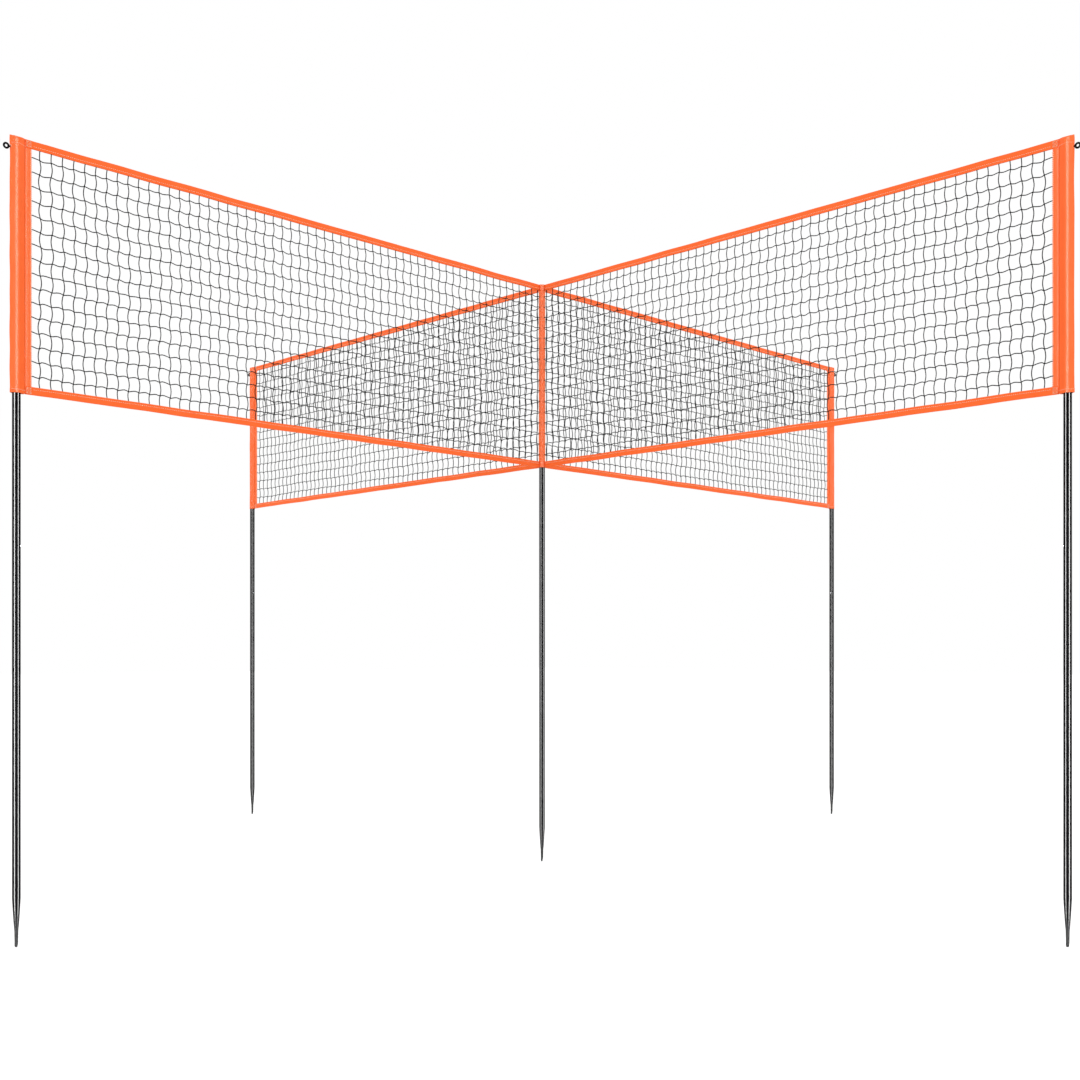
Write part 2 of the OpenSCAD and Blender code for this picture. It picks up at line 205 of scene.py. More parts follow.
def grid_patch(
    points: Array,
    uv: Array,
    round_columns: bool = True,
    round_rows: bool = False,
    ends: Ends = Ends.OPEN,
) -> Patch:
    """Joins a stack of grids of points into faces.

    Face (r, c) joins points (r, c), (r, c + 1), (r + 1, c + 1) and (r + 1, c), so its outward
    side is the column direction crossed with the row direction. A fan closes an end with
    triangles to the middle of its row. A strip closes the end of a wall whose row runs along
    one side and back along the other, by joining column i with column (columns - 1 - i).

    Args:
        points: grids, shape (count, rows, columns, 3).
        uv: shape (count or 1, row spans + 1, column spans + 1, 2).
        round_columns: whether the first column follows the last.
        round_rows: whether the first row follows the last.
        ends: how the first and the last row are closed.

    Returns:
        The patch.
    """
    count, rows, columns = points.shape[:3]
    row_spans = rows if round_rows else rows - 1
    column_spans = columns if round_columns else columns - 1
    uv = np.broadcast_to(uv, (count, row_spans + 1, column_spans + 1, 2))
    base = (np.arange(count) * rows * columns)[:, None, None, None]
    r = np.arange(row_spans)[:, None]
    c = np.arange(column_spans)[None, :]
    r_next, c_next = (r + 1) % rows, (c + 1) % columns
    quads = base + np.stack(
        [
            r * columns + c,
            r * columns + c_next,
            r_next * columns + c_next,
            r_next * columns + c,
        ],
        axis=-1,
    )
    quad_uv = np.stack([uv[:, :-1, :-1], uv[:, :-1, 1:], uv[:, 1:, 1:], uv[:, 1:, :-1]], axis=-2)
    quad_list, quad_uv_list = [quads.reshape(-1, 4)], [quad_uv.reshape(-1, 4, 2)]
    tris, tri_uv = np.zeros((0, 3), int), np.zeros((0, 3, 2))
    flat = points.reshape(-1, 3)
    base = base[:, 0, 0]
    last = (rows - 1) * columns
    if ends is Ends.FAN:
        middles = np.concatenate([points[:, 0].mean(axis=1), points[:, -1].mean(axis=1)])
        flat = np.concatenate([flat, middles])
        first_middle = count * rows * columns + np.arange(count)[:, None]
        c, c_next = np.arange(columns)[None, :], (np.arange(columns)[None, :] + 1) % columns
        low = np.stack(
            np.broadcast_arrays(first_middle, base + c_next, base + c), axis=-1
        )
        high = np.stack(
            np.broadcast_arrays(first_middle + count, base + last + c, base + last + c_next),
            axis=-1,
        )
        low_uv = np.stack(
            [
                np.broadcast_to(uv[:, :1].mean(axis=2), (count, columns, 2)),
                uv[:, 0, 1:],
                uv[:, 0, :-1],
            ],
            axis=-2,
        )
        high_uv = np.stack(
            [
                np.broadcast_to(uv[:, -1:].mean(axis=2), (count, columns, 2)),
                uv[:, -1, :-1],
                uv[:, -1, 1:],
            ],
            axis=-2,
        )
        tris = np.concatenate([low.reshape(-1, 3), high.reshape(-1, 3)])
        tri_uv = np.concatenate([low_uv.reshape(-1, 3, 2), high_uv.reshape(-1, 3, 2)])
    if ends is Ends.STRIP:
        i = np.arange(columns // 2 - 1)[None, :]
        across = np.stack([i, i + 1, columns - 2 - i, columns - 1 - i], axis=-1)
        order = across[0]
        for row, start, turn in ((0, 0, slice(None, None, -1)), (-1, last, slice(None))):
            quad_list.append((base[:, :, None] + start + across)[..., turn].reshape(-1, 4))
            quad_uv_list.append(uv[:, row][:, order][..., turn, :].reshape(-1, 4, 2))
    return Patch(
        flat, np.concatenate(quad_list), np.concatenate(quad_uv_list), tris, tri_uv
    )


def unit(vectors: Array) -> Array:
    """Each vector divided by its own length."""
    return vectors / np.maximum(np.linalg.norm(vectors, axis=-1, keepdims=True), 1e-12)


def full_turn(count: int) -> Array:
    """Angles at even steps round a full turn, from 0."""
    return 2 * math.pi * np.arange(count) / count


def run_length(points: Array, closed: bool = False) -> Array:
    """How far along its track each point lies: the sum of the steps up to it.

    Args:
        points: one track of points or a stack of them, shape (..., count, 2 or 3).
        closed: whether the way back to the first point is added as one more length.

    Returns:
        Lengths from 0, shape (..., count), or (..., count + 1) for a closed track.
    """
    track = np.concatenate([points, points[..., :1, :]], axis=-2) if closed else points
    steps = np.linalg.norm(np.diff(track, axis=-2), axis=-1)
    return np.concatenate([np.zeros_like(steps[..., :1]), np.cumsum(steps, axis=-1)], axis=-1)


def uv_grid(u: Array, v: Array) -> Array:
    """UVs of a grid whose columns lie at u and whose rows lie at v."""
    return np.stack(np.broadcast_arrays(u, v[..., None]), axis=-1)


def swept_tubes(
    paths: Array,
    radius: Numbers,
    sides: int,
    toward: Array,
    closed: bool = False,
    ends: Ends = Ends.OPEN,
) -> Patch:
    """Round tubes carried along many paths at once.

    At a point p of a path with unit tangent t, n is (toward x t) made unit and b = t x n, and
    the ring is p + radius (n cos a + b sin a) for angles a round the full turn.

    Args:
        paths: shape (count, rows, 3).
        radius: broadcasts to (count, rows).
        sides: points in a ring.
        toward: a direction never along a tangent; broadcasts to (count, rows, 3).
        closed: whether each path joins its own start.
        ends: how the tubes' ends are closed.

    Returns:
        The tubes as one patch, with u round the tube from 0 to 1 and v along it in metres.
    """
    if closed:
        tangent = np.roll(paths, -1, axis=1) - np.roll(paths, 1, axis=1)
    else:
        tangent = np.gradient(paths, axis=1)
    tangent = unit(tangent)
    n = unit(np.cross(np.broadcast_to(toward, paths.shape), tangent))
    b = np.cross(tangent, n)
    angle = full_turn(sides)
    ring = n[:, :, None] * np.cos(angle)[:, None] + b[:, :, None] * np.sin(angle)[:, None]
    wide = np.broadcast_to(radius, paths.shape[:2])[:, :, None, None]
    uv = uv_grid(np.arange(sides + 1) / sides, run_length(paths, closed))
    return grid_patch(paths[:, :, None] + wide * ring, uv, True, closed, ends)


DASH_SHARES = np.array([-0.5, -0.27, 0.27, 0.5])
DASH_LIFTS = np.array([-0.3, 0.55, 0.55, -0.3])
DASH_WIDTHS = np.array([0.55, 1.0, 1.0, 0.55])
DASH_SIDES = 4


def stitch_patch(
    middles: Array, along: Array, outward: Array, length: float, thick: float
) -> Patch:
    """Short raised dashes of sewing thread.

    A dash has four rings. They lie at DASH_SHARES of its length from its middle and
    DASH_LIFTS thread radii off the cloth, and have a radius of DASH_WIDTHS thread radii, so
    that it narrows and dips into the cloth at both ends.

    Args:
        middles: points on the cloth, shape (count, 3).
        along: unit directions of the dashes.
        outward: the cloth's unit normals.
        length: a dash's length.
        thick: the thread's diameter.

    Returns:
        The dashes as one patch.
    """
    share = DASH_SHARES[None, :, None]
    lift = DASH_LIFTS[None, :, None] * thick / 2
    paths = middles[:, None] + along[:, None] * share * length + outward[:, None] * lift
    radius = DASH_WIDTHS[None, :] * thick / 2
    return swept_tubes(paths, radius, DASH_SIDES, outward[:, None], ends=Ends.FAN)


def smooth_step(value: Array) -> Array:
    """0 below 0, 1 above 1, and 3 v^2 - 2 v^3 between."""
    v = np.clip(value, 0.0, 1.0)
    return v * v * (3 - 2 * v)


@dataclass(frozen=True)
class Ripple:
    """A smooth unevenness that is the same each run.

    It is the sum of sine waves, each with its own fixed direction, phase and a wavelength
    from 0.7 to 1.7 times the stated one, scaled to swing about 1 either way.
    """

    seed: int
    wavelength: float
    waves: int = 5

    def at(self, *coordinates: Array) -> Array:
        """The unevenness at points given by one array for each coordinate.

        Args:
            coordinates: arrays that broadcast together.

        Returns:
            The value at each point.
        """
        rng = np.random.default_rng(self.seed)
        total = 0.0
        for _ in range(self.waves):
            heading = rng.normal(size=len(coordinates))
            heading /= np.linalg.norm(heading)
            pace = 2 * math.pi / (self.wavelength * rng.uniform(0.7, 1.7))
            phase = rng.uniform(0, 2 * math.pi)
            run = sum(h * c for h, c in zip(heading, coordinates))
            total = total + np.sin(pace * run + phase)
        return total / math.sqrt(self.waves)


def mesh_object(name: str, patch: Patch, material: bpy.types.Material) -> bpy.types.Object:
    """Makes a smooth-shaded object at the origin from a patch.

    Args:
        name: the object's name.
        patch: its points, faces and UVs, in the object's frame.
        material: its finish.

    Returns:
        The object, linked to the scene.
    """
    mesh = bpy.data.meshes.new(name)
    corners = np.concatenate([patch.quads.ravel(), patch.tris.ravel()])
    quad_count, tri_count = len(patch.quads), len(patch.tris)
    starts = np.concatenate(
        [np.arange(quad_count) * 4, quad_count * 4 + np.arange(tri_count) * 3]
    )
    mesh.vertices.add(len(patch.points))
    mesh.vertices.foreach_set("co", patch.points.astype(np.float32).ravel())
    mesh.loops.add(len(corners))
    mesh.loops.foreach_set("vertex_index", corners.astype(np.int32))
    mesh.polygons.add(quad_count + tri_count)
    mesh.polygons.foreach_set("loop_start", starts.astype(np.int32))
    mesh.polygons.foreach_set("use_smooth", np.ones(quad_count + tri_count, bool))
    uv = np.concatenate([patch.quad_uv.reshape(-1, 2), patch.tri_uv.reshape(-1, 2)])
    mesh.uv_layers.new(name="UVMap").data.foreach_set("uv", uv.astype(np.float32).ravel())
    mesh.update(calc_edges=True)
    mesh.validate()
    mesh.materials.append(material)
    thing = bpy.data.objects.new(name, mesh)
    bpy.context.scene.collection.objects.link(thing)
    return thing


def net_piece(
    name: str,
    patch: Patch,
    material: bpy.types.Material,
    stands_for: Sequence[str] = (),
) -> bpy.types.Object:
    """Makes a piece that rides with the net, and hides the solids that it stands for.

    Args:
        name: the piece's name.
        patch: its shape.
        material: its finish.
        stands_for: the nodes that it replaces.

    Returns:
        The piece.
    """
    piece = mesh_object(name, patch, material)
    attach(piece, NET_BODY)
    if stands_for:
        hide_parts(*stands_for)
    LOG.info("made %s: %d points", name, len(patch.points))
    return piece


def sewn_sheet(
    node: str,
    cloth: Patch,
    finish: bpy.types.Material,
    sewing: Patch,
    thread: bpy.types.Material,
    flat: Tuple[float, float],
) -> None:
    """Makes a stretched sheet of cloth in the place of one solid, and the sewing on it.

    Args:
        node: the solid that the cloth replaces; both pieces' names start with it.
        cloth: the cloth's shape.
        finish: the cloth's finish.
        sewing: the shape of its sewing.
        thread: the sewing's finish.
        flat: the cut cloth's width and length; not used.
    """
    threads = net_piece(f"{node}_sewing", sewing, thread)
    sheet = net_piece(f"{node}_cloth", cloth, finish, [node])


# ---------------------------------------------------------------------------
# Finishes
# ---------------------------------------------------------------------------


class Nodes:
    """The nodes of one material or world."""

    def __init__(self, owner: Union[bpy.types.Material, bpy.types.World]) -> None:
        """Turns the owner's nodes on.

        Args:
            owner: the material or the world.
        """
        owner.use_nodes = True
        self.tree = owner.node_tree

    def cleared(self) -> "Nodes":
        """The same tree without the nodes that it started with."""
        self.tree.nodes.clear()
        return self

    def node(
        self, kind: str, inputs: Optional[Dict] = None, **settings: object
    ) -> bpy.types.Node:
        """Adds a node.

        Args:
            kind: the node's type.
            inputs: a value or a socket for each named or numbered input.
            settings: attributes of the node.

        Returns:
            The node.
        """
        made = self.tree.nodes.new(kind)
        for key, value in settings.items():
            setattr(made, key, value)
        for key, value in (inputs or {}).items():
            self.put(made.inputs[key], value)
        return made

    def put(self, socket: Socket, value: object) -> None:
        """Links a socket to another one, or sets its value.

        Args:
            socket: the input.
            value: the socket that feeds it, or its own value.
        """
        if isinstance(value, Socket):
            self.tree.links.new(value, socket)
        else:
            socket.default_value = value

    def maths(self, operation: str, a: Value, b: Value = 0.0, c: Value = 0.0) -> Socket:
        """One Math node's result."""
        return self.node("ShaderNodeMath", {0: a, 1: b, 2: c}, operation=operation).outputs[0]

    def spread(
        self, value: Socket, low: float, high: float, to_low: float = 0.0, to_high: float = 1.0
    ) -> Socket:
        """A value mapped from one range to another, held at the ends.

        Args:
            value: the value.
            low: where the first range starts.
            high: where it ends.
            to_low: where the second range starts.
            to_high: where it ends.

        Returns:
            The mapped value.
        """
        return self.node(
            "ShaderNodeMapRange",
            {"Value": value, 1: low, 2: high, 3: to_low, 4: to_high},
            clamp=True,
        ).outputs[0]


class Recipe(Nodes):
    """Builds the nodes of one finish of the object."""

    def __init__(self, name: str) -> None:
        """Starts a material with a Principled shader.

        Args:
            name: the material's name.
        """
        self.material = bpy.data.materials.new(name)
        super().__init__(self.material)
        self.shader = self.tree.nodes["Principled BSDF"]

    def coordinates(self, which: str = "Object") -> Socket:
        """The piece's own coordinates: Object, in metres, or UV."""
        return self.node("ShaderNodeTexCoord").outputs[which]

    def stretched(self, vector: Socket, scale: Tuple[float, float, float]) -> Socket:
        """The coordinates times a scale along each axis."""
        return self.node("ShaderNodeMapping", {"Vector": vector, "Scale": scale}).outputs[0]

    def noise(self, vector: Socket, scale: float, detail: float = 3.0) -> Socket:
        """Fractal noise.

        Args:
            vector: the coordinates.
            scale: how many lumps there are in a metre.
            detail: how many finer layers of noise there are.

        Returns:
            The noise, from 0 to 1.
        """
        return self.node(
            "ShaderNodeTexNoise",
            {"Vector": vector, "Scale": scale, "Detail": detail},
            noise_dimensions="3D",
        ).outputs["Fac"]

    def mix(
        self, share: Value, a: Union[Colour, Socket], b: Union[Colour, Socket]
    ) -> Socket:
        """A colour between two others.

        Args:
            share: the share of b, from 0 to 1.
            a: a colour or a colour socket.
            b: the other one.

        Returns:
            The mixed colour.
        """
        made = self.node("ShaderNodeMix", {0: share}, data_type="RGBA")
        for socket, colour in ((made.inputs[6], a), (made.inputs[7], b)):
            self.put(socket, colour if isinstance(colour, Socket) else (*colour, 1))
        return made.outputs[2]

    def bump(
        self,
        height: Value,
        distance: float,
        strength: float = 1.0,
        below: Optional[Socket] = None,
    ) -> Socket:
        """A bumped normal.

        Args:
            height: the height, from 0 to 1.
            distance: how many metres a height of 1 stands for.
            strength: the share of the bump that is used.
            below: a normal that the bump lies on, if there is one.

        Returns:
            The normal.
        """
        made = self.node(
            "ShaderNodeBump", {"Height": height, "Distance": distance, "Strength": strength}
        )
        if below is not None:
            self.put(made.inputs["Normal"], below)
        return made.outputs[0]

    def axis(self, vector: Socket, name: str) -> Socket:
        """One coordinate of a vector."""
        return self.node("ShaderNodeSeparateXYZ", {0: vector}).outputs[name]

    def set(self, **values: object) -> None:
        """Sets the shader's sockets.

        Args:
            values: a socket, a number or a colour for each input, in whose name an
                underscore stands for a space.
        """
        for key, value in values.items():
            if isinstance(value, tuple) and len(value) == 3:
                value = (*value, 1)
            self.put(self.shader.inputs[key.replace("_", " ")], value)


@dataclass(frozen=True)
class PoleCoat:
    """Glossy black powder coat, worn dull and grey on the part that goes in the ground."""

    name: str
    coat: Colour = (0.003, 0.003, 0.0035)
    dusty: Colour = (0.008, 0.008, 0.0085)
    worn: Colour = (0.018, 0.018, 0.019)
    bare: Colour = (0.038, 0.038, 0.04)
    wear_full: float = 0.035
    wear_none: float = 0.098
    ragged: float = 0.05
    glossy: Tuple[float, float] = (0.08, 0.095)
    dull: Tuple[float, float] = (0.7, 0.85)
    specular: float = 0.07

    def material(self) -> bpy.types.Material:
        """Builds the material.

        The worn share falls from 1 at wear_full to 0 at wear_none above the ground, with its
        edge moved up or down by up to half of ragged, by noise drawn out along the pole.

        Returns:
            The material.
        """
        r = Recipe(self.name)
        place = r.coordinates()
        drawn = r.stretched(place, (1.0, 1.0, 0.12))
        streaks = r.noise(drawn, scale=900.0, detail=4.0)
        lumps = r.noise(drawn, scale=260.0)
        edge = r.maths("MULTIPLY_ADD", lumps, self.ragged, r.axis(place, "Z"))
        shift = self.ragged / 2
        wear = r.spread(edge, self.wear_full + shift, self.wear_none + shift, 1.0, 0.0)
        dust = r.spread(r.noise(place, scale=14.0, detail=5.0), 0.45, 0.75)
        coat = r.mix(dust, self.coat, self.dusty)
        metal = r.mix(r.spread(streaks, 0.35, 0.7), self.worn, self.bare)
        gloss = r.spread(r.noise(drawn, scale=35.0, detail=2.0), 0.3, 0.7, *self.glossy)
        dull = r.spread(streaks, 0.3, 0.7, *self.dull)
        rough = r.node(
            "ShaderNodeMix", {0: wear, 2: gloss, 3: dull}, data_type="FLOAT"
        ).outputs[0]
        peel = r.bump(r.noise(drawn, scale=300.0, detail=1.0), distance=0.000003)
        scratches = r.maths("MULTIPLY", streaks, wear)
        r.set(
            Base_Color=r.mix(wear, coat, metal),
            Roughness=rough,
            Normal=r.bump(scratches, distance=0.0002, strength=0.6, below=peel),
            Specular_IOR_Level=self.specular,
        )
        return r.material


@dataclass(frozen=True)
class PlatedSteel:
    """Plated steel with faint brushing and a few darker spots."""

    name: str
    bright: Colour
    dark: Colour
    rough: Tuple[float, float] = (0.16, 0.32)

    def material(self) -> bpy.types.Material:
        """Builds the material: noise mixes the two colours and sets the roughness.

        Returns:
            The material.
        """
        r = Recipe(self.name)
        place = r.coordinates()
        cloud = r.noise(place, scale=160.0, detail=4.0)
        fine = r.noise(r.stretched(place, (1.0, 1.0, 6.0)), scale=700.0)
        r.set(
            Base_Color=r.mix(r.spread(cloud, 0.35, 0.7), self.bright, self.dark),
            Metallic=1.0,
            Roughness=r.spread(fine, 0.3, 0.7, *self.rough),
            Normal=r.bump(fine, distance=0.00005, strength=0.35),
        )
        return r.material


@dataclass(frozen=True)
class MouldedPlastic:
    """Black plastic with a fine moulded grain."""

    name: str
    colour: Colour = (0.012, 0.012, 0.013)
    worn: Colour = (0.03, 0.03, 0.031)
    grains: float = 1800.0
    rough: Tuple[float, float] = (0.42, 0.58)

    def material(self) -> bpy.types.Material:
        """Builds the material: fine cells for the grain, soft clouds for the wear.

        Returns:
            The material.
        """
        r = Recipe(self.name)
        place = r.coordinates()
        cells = {"Vector": place, "Scale": self.grains}
        grain = r.node("ShaderNodeTexVoronoi", cells).outputs[0]
        cloud = r.noise(place, scale=90.0, detail=4.0)
        r.set(
            Base_Color=r.mix(r.spread(cloud, 0.4, 0.8), self.colour, self.worn),
            Roughness=r.spread(cloud, 0.3, 0.7, *self.rough),
            Normal=r.bump(grain, distance=0.0001, strength=0.4),
        )
        return r.material


@dataclass(frozen=True)
class CoatedCloth:
    """Woven polyester with a satin coating, as UVs in metres place it."""

    name: str
    colour: Colour
    # painted shade for the weave's low places between crossings; darker fibres take it too, as
    # random tone
    shade: Colour
    faded: Colour
    thread: float = 0.0007
    rough: Tuple[float, float] = (0.3, 0.38)
    specular: float = 0.1

    def material(self) -> bpy.types.Material:
        """Builds the material.

        The weave's height is sin(pi u / thread) sin(pi v / thread), squared, so that it
        rises at each crossing, and the low places between crossings are darkened toward a
        painted-shade colour. Broad clouds fade the colour, noise darkens single fibres toward
        the same colour as a random tone, and long soft creases run up the cloth.

        Returns:
            The material.
        """
        r = Recipe(self.name)
        place = r.coordinates("UV")
        pace = math.pi / self.thread
        waves = [
            r.maths("SINE", r.maths("MULTIPLY", r.axis(place, axis), pace)) for axis in "XY"
        ]
        crossing = r.maths("MULTIPLY", *waves)
        weave = r.maths("MULTIPLY", crossing, crossing)
        cloud = r.noise(place, scale=16.0, detail=5.0)
        fibres = r.noise(r.stretched(place, (1.0, 0.2, 1.0)), scale=1400.0)
        crease = r.noise(r.stretched(place, (1.0, 0.16, 1.0)), scale=90.0)
        tone = r.mix(r.spread(cloud, 0.35, 0.7), self.colour, self.faded)
        # painted shade: the weave's low places between crossings are mixed toward the darker
        # colour
        tone = r.mix(r.spread(weave, 0.0, 0.45, 0.4, 0.0), tone, self.shade)
        # random darker fibres, the cloth's own tone
        tone = r.mix(r.spread(fibres, 0.45, 0.8, 0.0, 0.3), tone, self.shade)
        folds = r.bump(crease, distance=0.0008, strength=0.4)
        r.set(
            Base_Color=tone,
            Roughness=r.spread(fibres, 0.3, 0.7, *self.rough),
            Normal=r.bump(weave, distance=0.00012, strength=0.4, below=folds),
            Specular_IOR_Level=self.specular,
        )
        return r.material


@dataclass(frozen=True)
class TwistedTwine:
    """Twine of laid strands, as UVs place it: u round it once, v along it in metres."""

    name: str
    colour: Colour
    # painted shade in the grooves between the strands
    groove: Colour
    fibre: Colour
    strands: float = 3.0
    lay: float = 0.006
    rough: Tuple[float, float] = (0.6, 0.85)
    specular: float = 0.12

    def material(self) -> bpy.types.Material:
        """Builds the material.

        The strands' height is |sin(pi (strands u + v / lay))|, and the groove between two
        strands is darkened toward the groove colour, which is painted shade. Noise along the
        twine lifts single fibres.

        Returns:
            The material.
        """
        r = Recipe(self.name)
        place = r.coordinates("UV")
        run = r.maths("MULTIPLY", r.axis(place, "Y"), math.pi / self.lay)
        turn = r.maths("MULTIPLY_ADD", r.axis(place, "X"), math.pi * self.strands, run)
        strand = r.maths("ABSOLUTE", r.maths("SINE", turn))
        fuzz = r.noise(r.stretched(place, (4.0, 600.0, 1.0)), scale=3.0, detail=4.0)
        patches = r.noise(r.coordinates(), scale=9.0)
        # painted shade: the grooves between the strands are mixed toward the darker colour
        tone = r.mix(r.spread(strand, 0.05, 0.6), self.groove, self.colour)
        tone = r.mix(r.spread(fuzz, 0.5, 0.8, 0.0, 0.6), tone, self.fibre)
        tone = r.mix(r.spread(patches, 0.4, 0.75, 0.0, 0.3), tone, self.fibre)
        r.set(
            Base_Color=tone,
            Roughness=r.spread(fuzz, 0.3, 0.7, *self.rough),
            Normal=r.bump(strand, distance=0.0003, strength=0.7),
            Specular_IOR_Level=self.specular,
        )
        return r.material


class Finishes:
    """Every finish of the object, made once and shared."""

    def __init__(self) -> None:
        """Builds the materials."""
        never_worn = dict(wear_full=-1.0, wear_none=-0.9)
        # the second colour is painted shade for the weave's hollows, and also the tone of darker
        # fibres
        orange = dict(
            colour=(0.995, 0.154, 0.03), shade=(0.875, 0.107, 0.019), faded=(1.0, 0.168, 0.036)
        )
        self.pole = PoleCoat("pole_black_coat").material()
        self.upper = PoleCoat("upper_tube_black_coat", **never_worn).material()
        self.button = PlatedSteel(
            "button_black_oxide", bright=(0.075, 0.076, 0.08), dark=(0.04, 0.041, 0.043)
        ).material()
        self.spring = PlatedSteel(
            "spring_blued", bright=(0.3, 0.32, 0.38), dark=(0.16, 0.18, 0.24), rough=(0.2, 0.35)
        ).material()
        self.nut = PlatedSteel(
            "nut_zinc", bright=(0.6, 0.61, 0.63), dark=(0.4, 0.41, 0.43)
        ).material()
        self.eye = PoleCoat("eye_black_enamel", **never_worn).material()
        self.cap = MouldedPlastic("cap_black_plastic").material()
        self.sleeve = CoatedCloth("sleeve_orange_cloth", **orange).material()
        self.tape = CoatedCloth("tape_orange_cloth", **orange, thread=0.0008).material()
        self.band = CoatedCloth(
            "band_orange_webbing",
            colour=(0.97, 0.17, 0.045),
            shade=(0.84, 0.11, 0.025),
            faded=(0.98, 0.22, 0.07),
            thread=0.0011,
        ).material()
        # the groove colours of the thread, the twine and the knots are painted shade between their
        # strands
        self.thread = TwistedTwine(
            "sewing_thread_pale",
            colour=(1.0, 0.64, 0.44),
            groove=(0.97, 0.44, 0.25),
            fibre=(1.0, 0.76, 0.6),
            lay=0.0012,
        ).material()
        self.twine = TwistedTwine(
            "netting_grey_twine",
            colour=(0.009, 0.0095, 0.01),
            groove=(0.004, 0.004, 0.0045),
            fibre=(0.024, 0.025, 0.026),
        ).material()
        self.knot = TwistedTwine(
            "knot_grey_twine",
            colour=(0.008, 0.0085, 0.009),
            groove=(0.004, 0.004, 0.0045),
            fibre=(0.02, 0.021, 0.022),
        ).material()

    def dress_solids(self, nodes: Dict[str, bpy.types.Object]) -> None:
        """Puts the finishes on the solids that stay.

        Args:
            nodes: the frame's objects by node name.
        """
        by_start = {
            "ground_section": self.pole,
            "middle_section": self.pole,
            "upper_tube": self.upper,
            "snap_button": self.button,
            "pole_cap": self.cap,
            "guy_eye": self.eye,
            "eye_nuts": self.nut,
        }
        for name, solid in nodes.items():
            for start, material in by_start.items():
                if name.startswith(start):
                    solid.data.materials.clear()
                    solid.data.materials.append(material)
                    LOG.info("dressed %s with %s", name, material.name)


# ---------------------------------------------------------------------------
# Sewing
# ---------------------------------------------------------------------------


@dataclass(frozen=True)
class Sewing:
    """Rows of lockstitch: dashes of thread at an even pitch."""

    pitch: float
    dash: float
    thick: float

    def line(self, start: Array, end: Array, outward: Array) -> Patch:
        """A straight row of dashes on flat cloth.

        Args:
            start: where the row starts.
            end: where it ends.
            outward: the cloth's unit normal.

        Returns:
            The dashes.
        """
        span = float(np.linalg.norm(end - start))
        count = max(1, int(round(span / self.pitch)))
        share = (np.arange(count) + 0.5)[:, None] / count
        return self.dashes(start + (end - start) * share, (end - start) / span, outward)

    def dashes(self, middles: Array, along: Array, outward: Array) -> Patch:
        """Dashes at given points of the cloth.

        Args:
            middles: the points, shape (count, 3).
            along: the dashes' unit directions; broadcasts to the same shape.
            outward: the cloth's unit normals; broadcasts to the same shape.

        Returns:
            The dashes.
        """
        along, outward = (np.broadcast_to(v, middles.shape) for v in (along, outward))
        return stitch_patch(middles, along, outward, self.dash, self.thick)

    def box(self, corner: Array, across: Array, up: Array, outward: Array) -> List[Patch]:
        """A box stitch: the four sides of a rectangle and both its diagonals.

        Args:
            corner: the rectangle's corner.
            across: one side, as a vector.
            up: the other side, as a vector.
            outward: the cloth's unit normal.

        Returns:
            The six rows.
        """
        a, b, c, d = corner, corner + across, corner + across + up, corner + up
        rows = ((a, b), (b, c), (c, d), (d, a), (a, c), (b, d))
        return [self.line(start, end, outward) for start, end in rows]


# ---------------------------------------------------------------------------
# Sleeves and bands
# ---------------------------------------------------------------------------


